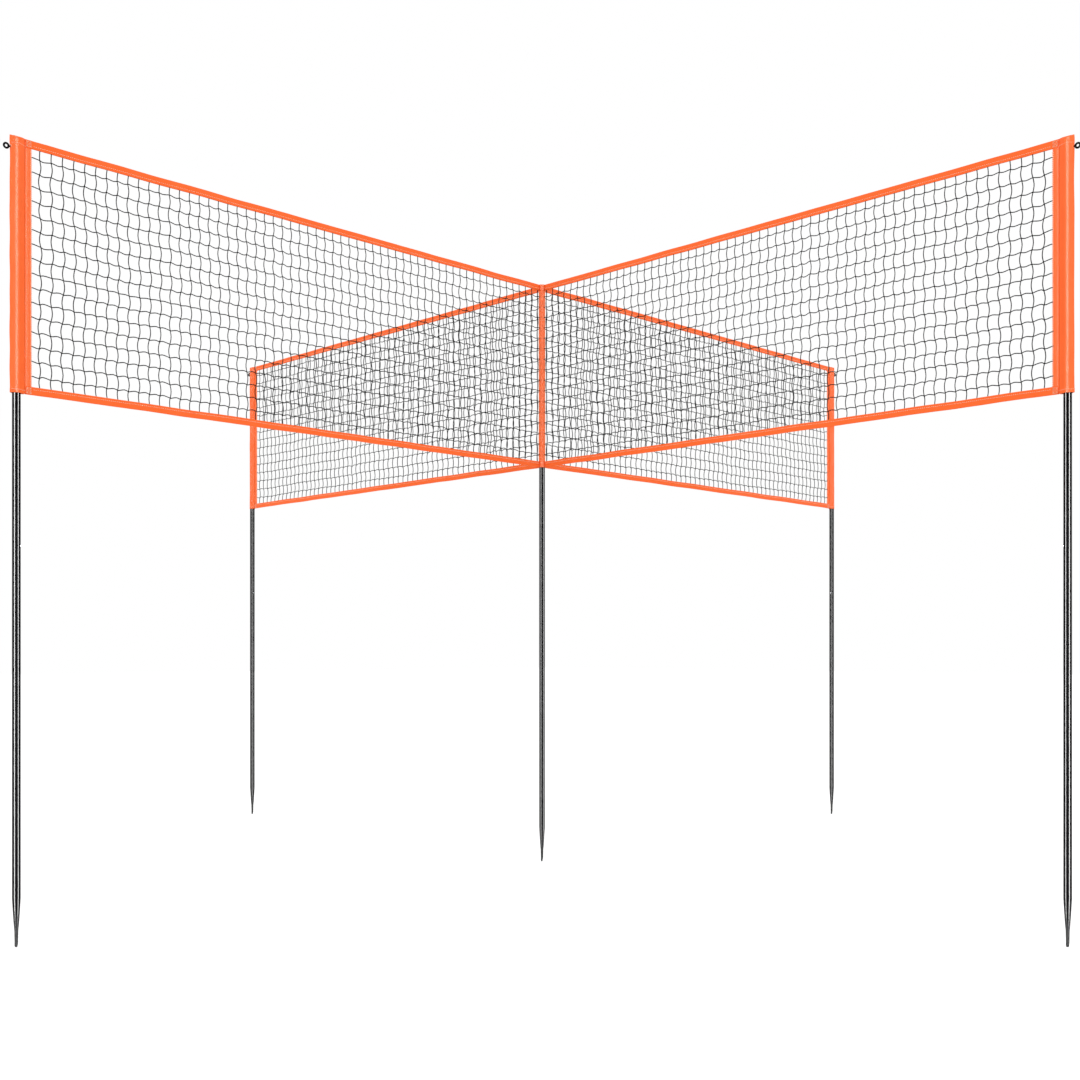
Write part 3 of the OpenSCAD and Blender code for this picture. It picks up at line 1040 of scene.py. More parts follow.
@dataclass
class CornerSleeve:
    """A flat fabric pocket on a corner pole, closed at the top, with a sewn band on its seam."""

    arm: Arm
    reach: float
    low: float
    high: float
    pole_radius: float = 0.0125
    wall: float = 0.001
    fold_reach: float = 0.018
    fold_radius: float = 0.001
    seam_reach: float = 0.024
    seam_half: float = 0.00135
    band_width: float = 0.017
    inner_fold: float = 0.0002
    inner_half: float = 0.0003
    inner_inset: float = 0.0012
    inner_run: float = 0.0015
    row_step: float = 0.0075
    crown: float = 0.0115
    crown_rise: float = 0.0112
    crown_slack: float = 0.0006
    hem_half: float = 0.0013
    hem_low: float = 0.0006
    hem_high: float = 0.0009
    ceiling_drop: float = 0.001
    top_hem: float = 0.022
    top_layer: float = 0.0003
    bottom_hem: float = 0.012
    bottom_layer: float = 0.00035
    layer_step: float = 0.0015
    crease: float = 0.00028
    slack: float = 0.0003
    seam_rows: Tuple[float, float] = (0.0265, 0.0378)
    groove: float = 0.00035
    groove_half: float = 0.0014
    tuck: float = 0.003
    tape_gap: float = 0.001
    stitch_sink: float = 0.0003
    seam_sewing: Sewing = Sewing(pitch=0.006, dash=0.0038, thick=0.0007)
    hem_sewing: Sewing = Sewing(pitch=0.0045, dash=0.0032, thick=0.0012)
    edging_pitch: float = 0.0056
    edging_radius: float = 0.0009
    eye_drop: float = 0.029
    eyelet_radius: float = 0.0031
    eyelet_thread: float = 0.00065
    eyelet_sink: float = 0.0004

    def outline(self, inner: bool) -> Array:
        """The pocket's outline as a closed ring of points, counter-clockwise from the fold.

        Two small rounds, at the fold and at the seam, share tangents with the big round about
        the pole. With d the distance of a small round of radius q from the pole's axis, the
        tangent meets the big round at the angle acos((radius - q) / d). Beyond the seam the
        outline runs flat along the band to its rounded edge.

        Args:
            inner: whether it is the inner face, which follows the pocket only.

        Returns:
            Points of shape (count, 2).
        """
        if inner:
            radius, fold_r, half = self.pole_radius - self.wall, self.inner_fold, self.inner_half
            fold_x, seam_x = self.fold_reach - self.inner_inset, self.seam_reach - self.inner_inset
            edge_x = seam_x + self.inner_run
        else:
            radius, fold_r, half = self.pole_radius, self.fold_radius, self.seam_half
            fold_x, seam_x = self.fold_reach, self.seam_reach
            edge_x = seam_x + self.band_width
        leave = math.acos((radius - fold_r) / (fold_x - fold_r))
        meet = math.pi - math.acos((radius - half) / (seam_x - half))
        small = np.linspace(0.0, leave, 5)
        big = np.linspace(leave, meet, 19)
        close = np.linspace(meet, math.pi / 2, 3)[1:]
        end = np.linspace(math.pi / 2, math.pi, 4)
        flat_from, flat_to = -(seam_x - half), -(edge_x - half)
        parts = [
            np.stack([fold_x - fold_r + fold_r * np.cos(small), fold_r * np.sin(small)], 1),
            np.stack([radius * np.cos(big), radius * np.sin(big)], 1),
            np.stack([flat_from + half * np.cos(close), half * np.sin(close)], 1),
            np.stack([flat_to + half * np.cos(end), half * np.sin(end)], 1),
        ]
        gaps = [4, 8, 9]
        half_ring = [parts[0]]
        for part, gap in zip(parts[1:], gaps):
            share = np.linspace(0, 1, gap + 1)[1:-1, None]
            half_ring += [half_ring[-1][-1] * (1 - share) + part[0] * share, part]
        upper = np.concatenate(half_ring)
        return np.concatenate([upper, upper[-2:0:-1] * [1, -1]])

    @staticmethod
    def normals(ring: Array) -> Array:
        """The outward unit normals of a counter-clockwise ring: its tangent turned right."""
        tangent = unit(np.roll(ring, -1, axis=0) - np.roll(ring, 1, axis=0))
        return np.stack([tangent[:, 1], -tangent[:, 0]], axis=-1)

    def swell(self, ring: Array, heights: Array) -> Array:
        """How far the outer face stands off its plain outline.

        Hems at the top and bottom add a turned-in layer. Rows of sewing pull the band in by
        a Gaussian of their distance. Shallow creases run up the cloth, deeper near the ends.

        Args:
            ring: the outline, shape (columns, 2).
            heights: the rows' heights.

        Returns:
            Distances of shape (rows, columns).
        """
        z, x = heights[:, None], ring[None, :, 0]
        angle = np.arctan2(ring[:, 1], ring[:, 0])[None, :]
        step = self.layer_step
        lift = self.bottom_layer * smooth_step((self.low + self.bottom_hem - z) / step)
        lift = lift + self.top_layer * smooth_step((z - self.high + self.top_hem) / step)
        on_band = smooth_step((-x - self.seam_reach + 0.004) / 0.004)
        lift = lift * (1 - on_band)
        for row in self.seam_rows:
            lift = lift - self.groove * np.exp(-(((-x - row) / self.groove_half) ** 2))
        near_end = np.exp(-(z - self.low) / 0.06) + np.exp(-(self.high - z) / 0.08)
        crease = Ripple(11 + self.arm.value, 0.05).at(0.25 * z, 0.012 * angle)
        slack = Ripple(23 + self.arm.value, 0.11).at(z, 0.02 * angle)
        loose = 1 - 0.7 * on_band
        return lift + loose * (self.crease * crease * (0.5 + near_end) + self.slack * slack)

    def pinched(self, ring: Array, height: Array, inset: float) -> Array:
        """A row's outline, drawn in towards the arm's plane in the crown.

        With t the share of the crown's rise, the half width is held to
        w = hem + (radius - hem) (1 - t^3)^(1/3), so the two sides of the pocket meet in a
        straight hem over the pole's cap. A point's y becomes y / (1 + (|y| / w)^12)^(1/12).

        Args:
            ring: the outline, shape (columns, 2).
            height: the height of each of its points.
            inset: how far the face lies inside the outer one.

        Returns:
            The outline, in the same shape.
        """
        t = np.clip((height - self.high + self.crown) / self.crown_rise, 0.0, 1.0)
        full = self.pole_radius + self.crown_slack
        width = self.hem_half + (full - self.hem_half) * np.cbrt(1 - t**3)
        width = np.where(t > 0, width, 1.0) - 0.8 * inset
        x, y = ring.T
        return np.stack([x, y / (1 + (np.abs(y) / width) ** 12) ** (1 / 12)], axis=1)

    def row(self, ring: Array, z: float, inset: float = 0.0) -> Array:
        """One row of the wall, drawn in to the crown.

        The pocket's points are held under its hem, which slopes up toward the fold, and the
        band's points are tucked in at both ends, under the tapes.

        Args:
            ring: the row's outline, shape (columns, 2).
            z: its height, before it is held.
            inset: how far the face lies inside the outer one.

        Returns:
            Points of shape (columns, 3).
        """
        on_band = smooth_step((-ring[:, 0] - self.seam_reach + 0.002) / 0.002)
        out = smooth_step((ring[:, 0] + self.seam_reach) / (self.seam_reach + self.fold_reach))
        hem = self.high + self.hem_low + (self.hem_high - self.hem_low) * out
        top = hem * (1 - on_band) + (self.high - self.tuck) * on_band - inset
        bottom = self.low + self.tuck * on_band
        height = np.clip(np.broadcast_to(z, len(ring)), bottom, top)
        x, y = self.pinched(ring, height, inset).T
        return np.stack([x, y, height], axis=1)

    def cloth(self) -> Patch:
        """The whole pocket as one closed wall.

        The rows start at the middle of the ceiling, go down the inner face, turn under the
        bottom edge, go up the outer face and over the crown to the top of the hem.

        Returns:
            The patch in the object's frame.
        """
        outer, inner = self.outline(False), self.outline(True)
        normal = self.normals(outer)
        near_low = [0.0, 0.0006, 0.003, 0.008, 0.0105, 0.0115, 0.0125, 0.0135]
        near_high = [0.0235, 0.0225, 0.0215, 0.0205, 0.016, self.crown]
        between = np.arange(self.low + 0.02, self.high - 0.03, self.row_step)
        heights = np.concatenate(
            [self.low + np.array(near_low), between, self.high - np.array(near_high)]
        )
        swell = self.swell(outer, heights)
        rises = np.array([0.0, 0.22, 0.4, 0.56, 0.69, 0.8, 0.88, 0.94, 0.975, 0.993, 1.0])
        crown = self.high - self.crown + self.crown_rise * rises
        fades = np.linspace(0.9, 0.0, len(crown) - 1)
        ceiling = self.high - self.ceiling_drop
        down = np.concatenate([heights, crown[1:7]])[::-1]
        over = (self.high, self.high + 0.0003, self.high + self.hem_high)
        rows = [self.row(inner * k, ceiling, self.wall) for k in (0.06, 0.3, 0.6, 0.85, 1.0)]
        rows += [self.row(inner, z, self.wall) for z in down]
        rows += [self.row(outer + normal * off[:, None], z) for z, off in zip(heights, swell)]
        rows += [
            self.row(outer + normal * (swell[-1] * fade)[:, None], z)
            for z, fade in zip(crown[1:], fades)
        ]
        rows += [self.row(outer, z) for z in over]
        for share in (0.6, 0.2):
            rows.append(rows[-1] * [1, share, 1] + [0, 0, 0.0001])
        points = np.stack(rows)
        uv = uv_grid(run_length(outer, closed=True), run_length(points[:, 10]))
        return grid_patch(points[None], uv[None], ends=Ends.FAN).on(self.arm, self.reach)

    def flat_size(self) -> Tuple[float, float]:
        """The cut cloth: once round the outline, and the sleeve's height with both hems."""
        return float(run_length(self.outline(False), closed=True)[-1]), self.high - self.low

    def sewing(self, tape_height: float) -> Patch:
        """The sleeve's sewing.

        Two rows up each side of the band between the tapes, a row round the pocket at each
        hem, a ring of thread round the hole that the guy eye's shank comes out of, and loops
        over the band's raw edge.

        Args:
            tape_height: the height of the tapes that cover the band's ends.

        Returns:
            The sewing in the object's frame.
        """
        low = self.low + tape_height + self.tape_gap
        high = self.high - tape_height - self.tape_gap
        parts: List[Patch] = []
        for row in self.seam_rows:
            for side in (1.0, -1.0):
                spot = np.array([-row, side * (self.seam_half - self.stitch_sink), 0.0])
                start, end = spot + low * Z_AXIS, spot + high * Z_AXIS
                parts.append(self.seam_sewing.line(start, end, side * Y_AXIS))
        parts.append(self.hem_row(self.low + self.bottom_hem - 0.003))
        parts.append(self.hem_row(self.high - self.top_hem + 0.002))
        parts += [self.eyelet(), self.edging(low, high)]
        return Patch.joined(parts).on(self.arm, self.reach)

    def hem_row(self, z: float) -> Patch:
        """A row of dashes round the pocket, from one side of the seam to the other.

        Args:
            z: the row's height.

        Returns:
            The dashes, in the sleeve's local frame.
        """
        outer = self.outline(False)
        outer = outer[outer[:, 0] > -self.seam_reach + 0.001]
        turn = np.argmax(np.linalg.norm(np.diff(outer, axis=0), axis=1)) + 1
        path = np.roll(outer, -turn, axis=0)
        run = run_length(path)
        marks = np.arange(0.003, run[-1] - 0.002, self.hem_sewing.pitch)
        spots = np.stack([np.interp(marks, run, path[:, k]) for k in (0, 1)], axis=1)
        ahead = np.stack([np.interp(marks + 0.0006, run, path[:, k]) for k in (0, 1)], axis=1)
        along = unit(ahead - spots)
        out = np.stack([along[:, 1], -along[:, 0]], axis=1)
        level = np.zeros((len(marks), 1))
        middles = np.concatenate([spots + out * self.stitch_sink, level + z], axis=1)
        along, out = (np.concatenate([v, level], axis=1) for v in (along, out))
        return self.hem_sewing.dashes(middles, along, out)

    def edging(self, low: float, high: float) -> Patch:
        """Slanting loops of thread over the band's raw edge.

        A loop runs from the front of the band, over the edge, to the back, and climbs by
        half a pitch on its way.

        Args:
            low: where the edging starts.
            high: where it ends.

        Returns:
            The loops, in the sleeve's local frame.
        """
        edge, pitch = self.seam_reach + self.band_width, self.edging_pitch
        foot = np.arange(low, high - pitch, pitch)[:, None]
        x = -edge + np.array([0.0026, 0.0004, -0.0015, 0.0004, 0.0026])
        y = np.array([1.0, 0.92, 0.0, -0.92, -1.0]) * (self.seam_half + 0.0001)
        z = foot + pitch * np.array([0.0, 0.15, 0.25, 0.35, 0.5])
        paths = np.stack(np.broadcast_arrays(x, y, z), axis=-1)
        return swept_tubes(paths, self.edging_radius, 5, Z_AXIS, ends=Ends.FAN)

    def eyelet(self) -> Patch:
        """Thread wound round the shank's hole: a ring that follows the fold's two sides.

        The ring's points are at y = r cos a and z = eye + r sin a. With q the fold's radius
        and slope the angle at which the sides leave the fold,
        x = fold - sink + q - hypot(y, q) tan(slope).

        Returns:
            The ring, in the sleeve's local frame.
        """
        angle, q = full_turn(40), self.fold_radius
        y, z = self.eyelet_radius * np.cos(angle), self.eyelet_radius * np.sin(angle)
        slope = math.tan(math.acos((self.pole_radius - q) / (self.fold_reach - q)))
        x = self.fold_reach - self.eyelet_sink + q - np.hypot(y, q) * slope
        path = np.stack([x, y, self.high - self.eye_drop + z], axis=1)
        return swept_tubes(path[None], self.eyelet_thread, 8, X_AXIS, closed=True)

    def build(self, finishes: Finishes, tape_height: float) -> None:
        """Makes the sleeve's cloth and its sewing.

        Args:
            finishes: the shared finishes.
            tape_height: the height of the tapes that cover the band's ends.
        """
        sewn_sheet(
            f"sleeve_{self.arm.label}",
            self.cloth(),
            finishes.sleeve,
            self.sewing(tape_height),
            finishes.thread,
            flat=self.flat_size(),
        )


@dataclass
class CentreSleeve:
    """A round fabric pocket on the centre pole, closed at the top."""

    low: float
    high: float
    radius: float = 0.0125
    wall: float = 0.001
    rim: float = 0.0012
    columns: int = 72
    row_step: float = 0.0075
    seam_angle: float = 17.0
    side_angle: float = 12.0
    panel_draw: float = 0.0005
    row_draw: float = 0.00025
    crease: float = 0.00022
    tape_gap: float = 0.001
    stitch_sink: float = 0.0002
    seam_sewing: Sewing = Sewing(pitch=0.0055, dash=0.0038, thick=0.0008)

    def swell(self, angle: Array, heights: Array) -> Array:
        """How far the outer face stands off the plain round.

        Where each netting panel is sewn on, at every quarter turn, and at the two rows of
        sewing between, the cloth is drawn in by a Gaussian of the angle. Shallow creases run
        up the cloth.

        Args:
            angle: the columns' angles.
            heights: the rows' heights.

        Returns:
            Distances of shape (rows, columns).
        """
        a, z = angle[None, :], heights[:, None]
        off = np.abs((a + math.pi / 4) % (math.pi / 2) - math.pi / 4)
        drawn = -self.panel_draw * np.exp(-((off / 0.16) ** 2))
        seam = math.radians(self.seam_angle)
        middle = np.abs(a % (math.pi / 2) - math.pi / 4)
        row = -self.row_draw * np.exp(-(((middle - seam) / 0.1) ** 2))
        crease = Ripple(5, 0.05).at(0.25 * z, 0.01 * np.cos(a), 0.01 * np.sin(a))
        return drawn + row + self.crease * crease

    def row(self, radius: Numbers, z: float) -> Array:
        """One row of the wall.

        Args:
            radius: the row's radius, or one for each column.
            z: its height.

        Returns:
            Points of shape (columns, 3).
        """
        angle = full_turn(self.columns)
        height = np.full(self.columns, z)
        return np.stack([np.cos(angle) * radius, np.sin(angle) * radius, height], axis=1)

    def cloth(self) -> Patch:
        """The pocket as one closed wall, its rows in the order of a corner sleeve's.

        The rim is a quarter round, and the top lies flat inside it.

        Returns:
            The patch.
        """
        angle = full_turn(self.columns)
        heights = np.arange(self.low, self.high - self.rim, self.row_step)
        swell = self.swell(angle, heights)
        inner, flat = self.radius - self.wall, self.radius - self.rim
        turns = np.radians([0, 30, 60, 90])
        insets = self.rim * (1 - np.cos(turns))
        rim_heights = self.high - self.rim * (1 - np.sin(turns))
        rows = [self.row(inner * k, self.high - self.wall) for k in (0.06, 0.4, 0.8, 1.0)]
        rows += [self.row(inner, z) for z in heights[::-1]]
        rows += [self.row(self.radius + off, z) for z, off in zip(heights, swell)]
        rows += [
            self.row(self.radius + swell[-1] - inset, z) for z, inset in zip(rim_heights, insets)
        ]
        rows += [self.row(flat * k, self.high) for k in (0.8, 0.5, 0.2, 0.06)]
        points = np.stack(rows)
        uv = uv_grid(self.radius * np.append(angle, 2 * math.pi), run_length(points[:, 0]))
        return grid_patch(points[None], uv[None], ends=Ends.FAN)

    def sewing(self, tape_height: float) -> Patch:
        """Two rows of sewing up each quarter of the sleeve, and one on each side of a panel.

        Args:
            tape_height: the height of the bands that cover the sleeve's ends.

        Returns:
            The dashes.
        """
        low = self.low + tape_height + self.tape_gap
        high = self.high - tape_height - self.tape_gap
        offs = (45 - self.seam_angle, 45 + self.seam_angle, self.side_angle, 90 - self.side_angle)
        parts: List[Patch] = []
        for quarter in range(4):
            for off in offs:
                a = math.radians(90 * quarter + off)
                out = np.array([math.cos(a), math.sin(a), 0.0])
                spot = out * (self.radius - self.stitch_sink)
                parts.append(self.seam_sewing.line(spot + low * Z_AXIS, spot + high * Z_AXIS, out))
        return Patch.joined(parts)

    def build(self, finishes: Finishes, tape_height: float) -> None:
        """Makes the sleeve's cloth and its sewing.

        Args:
            finishes: the shared finishes.
            tape_height: the height of the bands that cover the sleeve's ends.
        """
        sewn_sheet(
            "sleeve_centre",
            self.cloth(),
            finishes.sleeve,
            self.sewing(tape_height),
            finishes.thread,
            flat=(2 * math.pi * self.radius, self.high - self.low),
        )


@dataclass
class CentreBand:
    """A band of webbing round the centre sleeve, box stitched in each quarter."""

    node: str
    low: float
    high: float
    inner: float = 0.0127
    outer: float = 0.0139
    edge: float = 0.0004
    columns: int = 72
    swell: float = 0.0002
    ripple: float = 0.00012
    box_width: float = 0.0135
    box_margin: float = 0.0025
    stitch_rise: float = 0.0001
    box_sewing: Sewing = Sewing(pitch=0.0027, dash=0.002, thick=0.0007)

    def cloth(self) -> Patch:
        """The band as a closed ring of cloth.

        Its section is a rectangle with rounded edges, and the radius swells between the four
        panels by sin^2 of twice the angle.

        Returns:
            The patch.
        """
        angle = full_turn(self.columns)
        low, high = self.low + self.edge, self.high - self.edge
        near, far = self.inner + self.edge, self.outer - self.edge
        section = [(self.inner, high), (self.inner, low), (near, self.low), (far, self.low)]
        section += [(self.outer, z) for z in np.linspace(low, high, 12)]
        section += [(far, self.high), (near, self.high)]
        radius, height = np.array(section).T[:, :, None]
        share = (radius - self.inner) / (self.outer - self.inner)
        full = np.sin(2 * angle) ** 2
        ripple = Ripple(31, 0.02).at(0.012 * angle, height)
        wide = radius + share * (self.swell * full + self.ripple * ripple)
        places = (wide * np.cos(angle), wide * np.sin(angle), height)
        points = np.stack(np.broadcast_arrays(*places), axis=-1)
        u = self.outer * np.append(angle, 2 * math.pi)
        uv = uv_grid(u, run_length(np.array(section), closed=True))
        return grid_patch(points[None], uv[None], round_rows=True)

    def sewing(self) -> Patch:
        """A box stitch in each quarter, wrapped on the round: x across becomes an angle.

        Returns:
            The dashes.
        """
        wide, tall = self.box_width, self.high - self.low - 2 * self.box_margin
        corner = np.array([-wide / 2, 0.0, self.low + self.box_margin])
        flat = Patch.joined(
            self.box_sewing.box(corner, wide * X_AXIS, tall * Z_AXIS, -Y_AXIS)
        )
        across, off, z = flat.points.T
        radius = self.outer + self.stitch_rise - off
        parts: List[Patch] = []
        for quarter in range(4):
            angle = across / self.outer + math.radians(90 * quarter + 45)
            points = np.stack([radius * np.cos(angle), radius * np.sin(angle), z], axis=1)
            parts.append(replace(flat, points=points))
        return Patch.joined(parts)

    def build(self, finishes: Finishes) -> None:
        """Makes the band's cloth and its sewing.

        Args:
            finishes: the shared finishes.
        """
        sewn_sheet(
            self.node,
            self.cloth(),
            finishes.band,
            self.sewing(),
            finishes.thread,
            flat=(self.high - self.low, 2 * math.pi * self.outer),
        )


# ---------------------------------------------------------------------------
# Tapes
# ---------------------------------------------------------------------------


class Edge(Enum):
    """The net's two edges: which way a tape's closed fold faces."""

    TOP = 1.0
    BOTTOM = -1.0


@dataclass
class NetTape:
    """A strip of cloth folded over the netting's edge and sewn through both its sides."""

    arm: Arm
    edge: Edge
    fold_z: float
    start: float
    end: float
    band_start: float
    height: float = 0.022
    wall: float = 0.0008
    fold_radius: float = 0.0023
    flap_half: float = 0.0021
    band_half: float = 0.0024
    open_ease: float = 0.0002
    row_depth: float = 0.015
    row_pinch: float = 0.0006
    pinch_half: float = 0.0017
    looseness: float = 0.00013
    wave: float = 0.00045
    station: float = 0.008
    row_gap: float = 0.003
    stitch_rise: float = 0.00005
    box_step: float = 0.0016
    row_sewing: Sewing = Sewing(pitch=0.006, dash=0.0038, thick=0.0017)
    box_sewing: Sewing = Sewing(pitch=0.0026, dash=0.002, thick=0.0009)

    def half_width(self, depth: Array, along: Array) -> Array:
        """Half the tape's outer thickness.

        It grows from flap_half at the open edge to fold_radius at the fold, less a Gaussian
        at the sewn row, and is even over the sleeve's band.

        Args:
            depth: distance from the fold's edge.
            along: distance from the centre pole's axis.

        Returns:
            The half width at each point.
        """
        share = np.clip(depth / self.height, 0.0, 1.0)
        plain = self.fold_radius + (self.flap_half - self.fold_radius) * share
        pinch = self.row_pinch * np.exp(-(((depth - self.row_depth) / self.pinch_half) ** 2))
        seed = int(self.arm.value + 7 * self.edge.value)
        loose = Ripple(41 + seed, 0.09).at(along, 2.5 * depth)
        over_band = smooth_step((along - self.band_start + 0.004) / 0.006)
        free = plain - pinch + self.looseness * loose
        return free * (1 - over_band) + self.band_half * over_band

    def edge_drop(self, along: Array) -> Array:
        """How far the folded edge lies inside its straight line.

        It lies in shallow waves, from 0 to about twice wave, that die out at both ends.

        Args:
            along: distance from the centre pole's axis.

        Returns:
            The drop at each point.
        """
        seed = int(60 + self.arm.value + 9 * self.edge.value)
        room = smooth_step((along - self.start) / 0.1) * smooth_step((self.end - along) / 0.15)
        return self.wave * room * (1 + Ripple(seed, 0.22).at(along))

    def section(self, flap: Array, x: Array, inset: float) -> Tuple[Array, Array]:
        """One face's sections: up one side, over the round fold and down the other side.

        At the open edge both faces are drawn together by open_ease.

        Args:
            flap: how far the points of a side lie from the fold's edge.
            x: the sections' places along the tape, shape (rows, 1).
            inset: how far the face lies inside the outer one.

        Returns:
            Each point's y and its distance from the fold's edge, of shape (rows, points).
        """
        turn = np.linspace(0, math.pi, 9)[1:-1]
        side = self.half_width(flap[None, :], x) - inset
        side[:, 0] += self.open_ease if inset else -self.open_ease
        wide = side[:, -1:]
        y = np.concatenate([side, wide * np.cos(turn), -side[:, ::-1]], axis=1)
        depth = np.broadcast_to(flap, side.shape)
        fold = self.fold_radius - wide * np.sin(turn)
        return y, np.concatenate([depth, fold, depth[:, ::-1]], axis=1)

    def cloth(self) -> Patch:
        """The folded strip as one closed wall.

        A row is the section at one place along the tape: up one side, over the round fold,
        down the other side, and back along the inner face.

        Returns:
            The patch in the object's frame.
        """
        count = int((self.end - self.start) / self.station)
        x = np.linspace(self.start, self.end, count)[:, None]
        flap = np.concatenate(
            [
                [self.height, self.height - 0.0004],
                np.linspace(self.height - 0.002, self.row_depth + 0.003, 3),
                self.row_depth + np.array([0.0016, 0.0007, 0.0, -0.0007, -0.0016]),
                np.linspace(self.row_depth - 0.004, self.fold_radius, 5),
            ]
        )
        outer_y, outer_depth = self.section(flap, x, 0.0)
        inner_y, inner_depth = self.section(flap, x, self.wall)
        y = np.concatenate([outer_y, inner_y[:, ::-1]], axis=1)
        depth = np.concatenate([outer_depth, inner_depth[:, ::-1]], axis=1) + self.edge_drop(x)
        z = self.fold_z - self.edge.value * depth
        points = np.stack(np.broadcast_arrays(x, y, z), axis=-1)
        uv = np.stack(np.broadcast_arrays(run_length(points, closed=True), x), axis=-1)
        if self.edge is Edge.BOTTOM:
            points, uv = points[:, ::-1], uv[:, ::-1]
        return grid_patch(points[None], uv[None], ends=Ends.STRIP).on(self.arm)

    def sewing(self) -> Patch:
        """The sewing on both sides of the tape.

        A row of dashes runs along it, and two box stitches, one inside the other, hold it on
        the sleeve's band.

        Returns:
            The dashes in the object's frame.
        """
        row, down = self.row_sewing, -self.edge.value
        count = int((self.band_start - self.start - self.row_gap) / row.pitch)
        x = self.start + self.row_gap + (np.arange(count) + 0.5) * row.pitch
        depth = np.full(count, self.row_depth)
        wide = self.half_width(depth, x) + self.stitch_rise
        z = self.fold_z + down * (depth + self.edge_drop(x))
        face = self.band_half + self.stitch_rise
        parts: List[Patch] = []
        for side in (1.0, -1.0):
            out = side * Y_AXIS
            parts.append(row.dashes(np.stack([x, side * wide, z], axis=1), X_AXIS, out))
            corner = np.array([self.band_start + 0.0015, side * face, self.fold_z + down * 0.0035])
            for shrink in (0.0, self.box_step):
                start = corner + shrink * (X_AXIS + down * Z_AXIS)
                across = (self.end - self.band_start - 0.004 - 2 * shrink) * X_AXIS
                inward = down * (self.height - 0.0065 - 2 * shrink) * Z_AXIS
                parts += self.box_sewing.box(start, across, inward, out)
        return Patch.joined(parts).on(self.arm)

    def build(self, finishes: Finishes) -> None:
        """Makes the tape's cloth and its sewing.

        Args:
            finishes: the shared finishes.
        """
        sewn_sheet(
            f"{self.edge.name.lower()}_tape_{self.arm.label}",
            self.cloth(),
            finishes.tape,
            self.sewing(),
            finishes.thread,
            flat=(2 * self.height + 0.002, self.end - self.start),
        )


# ---------------------------------------------------------------------------
# Netting
# ---------------------------------------------------------------------------


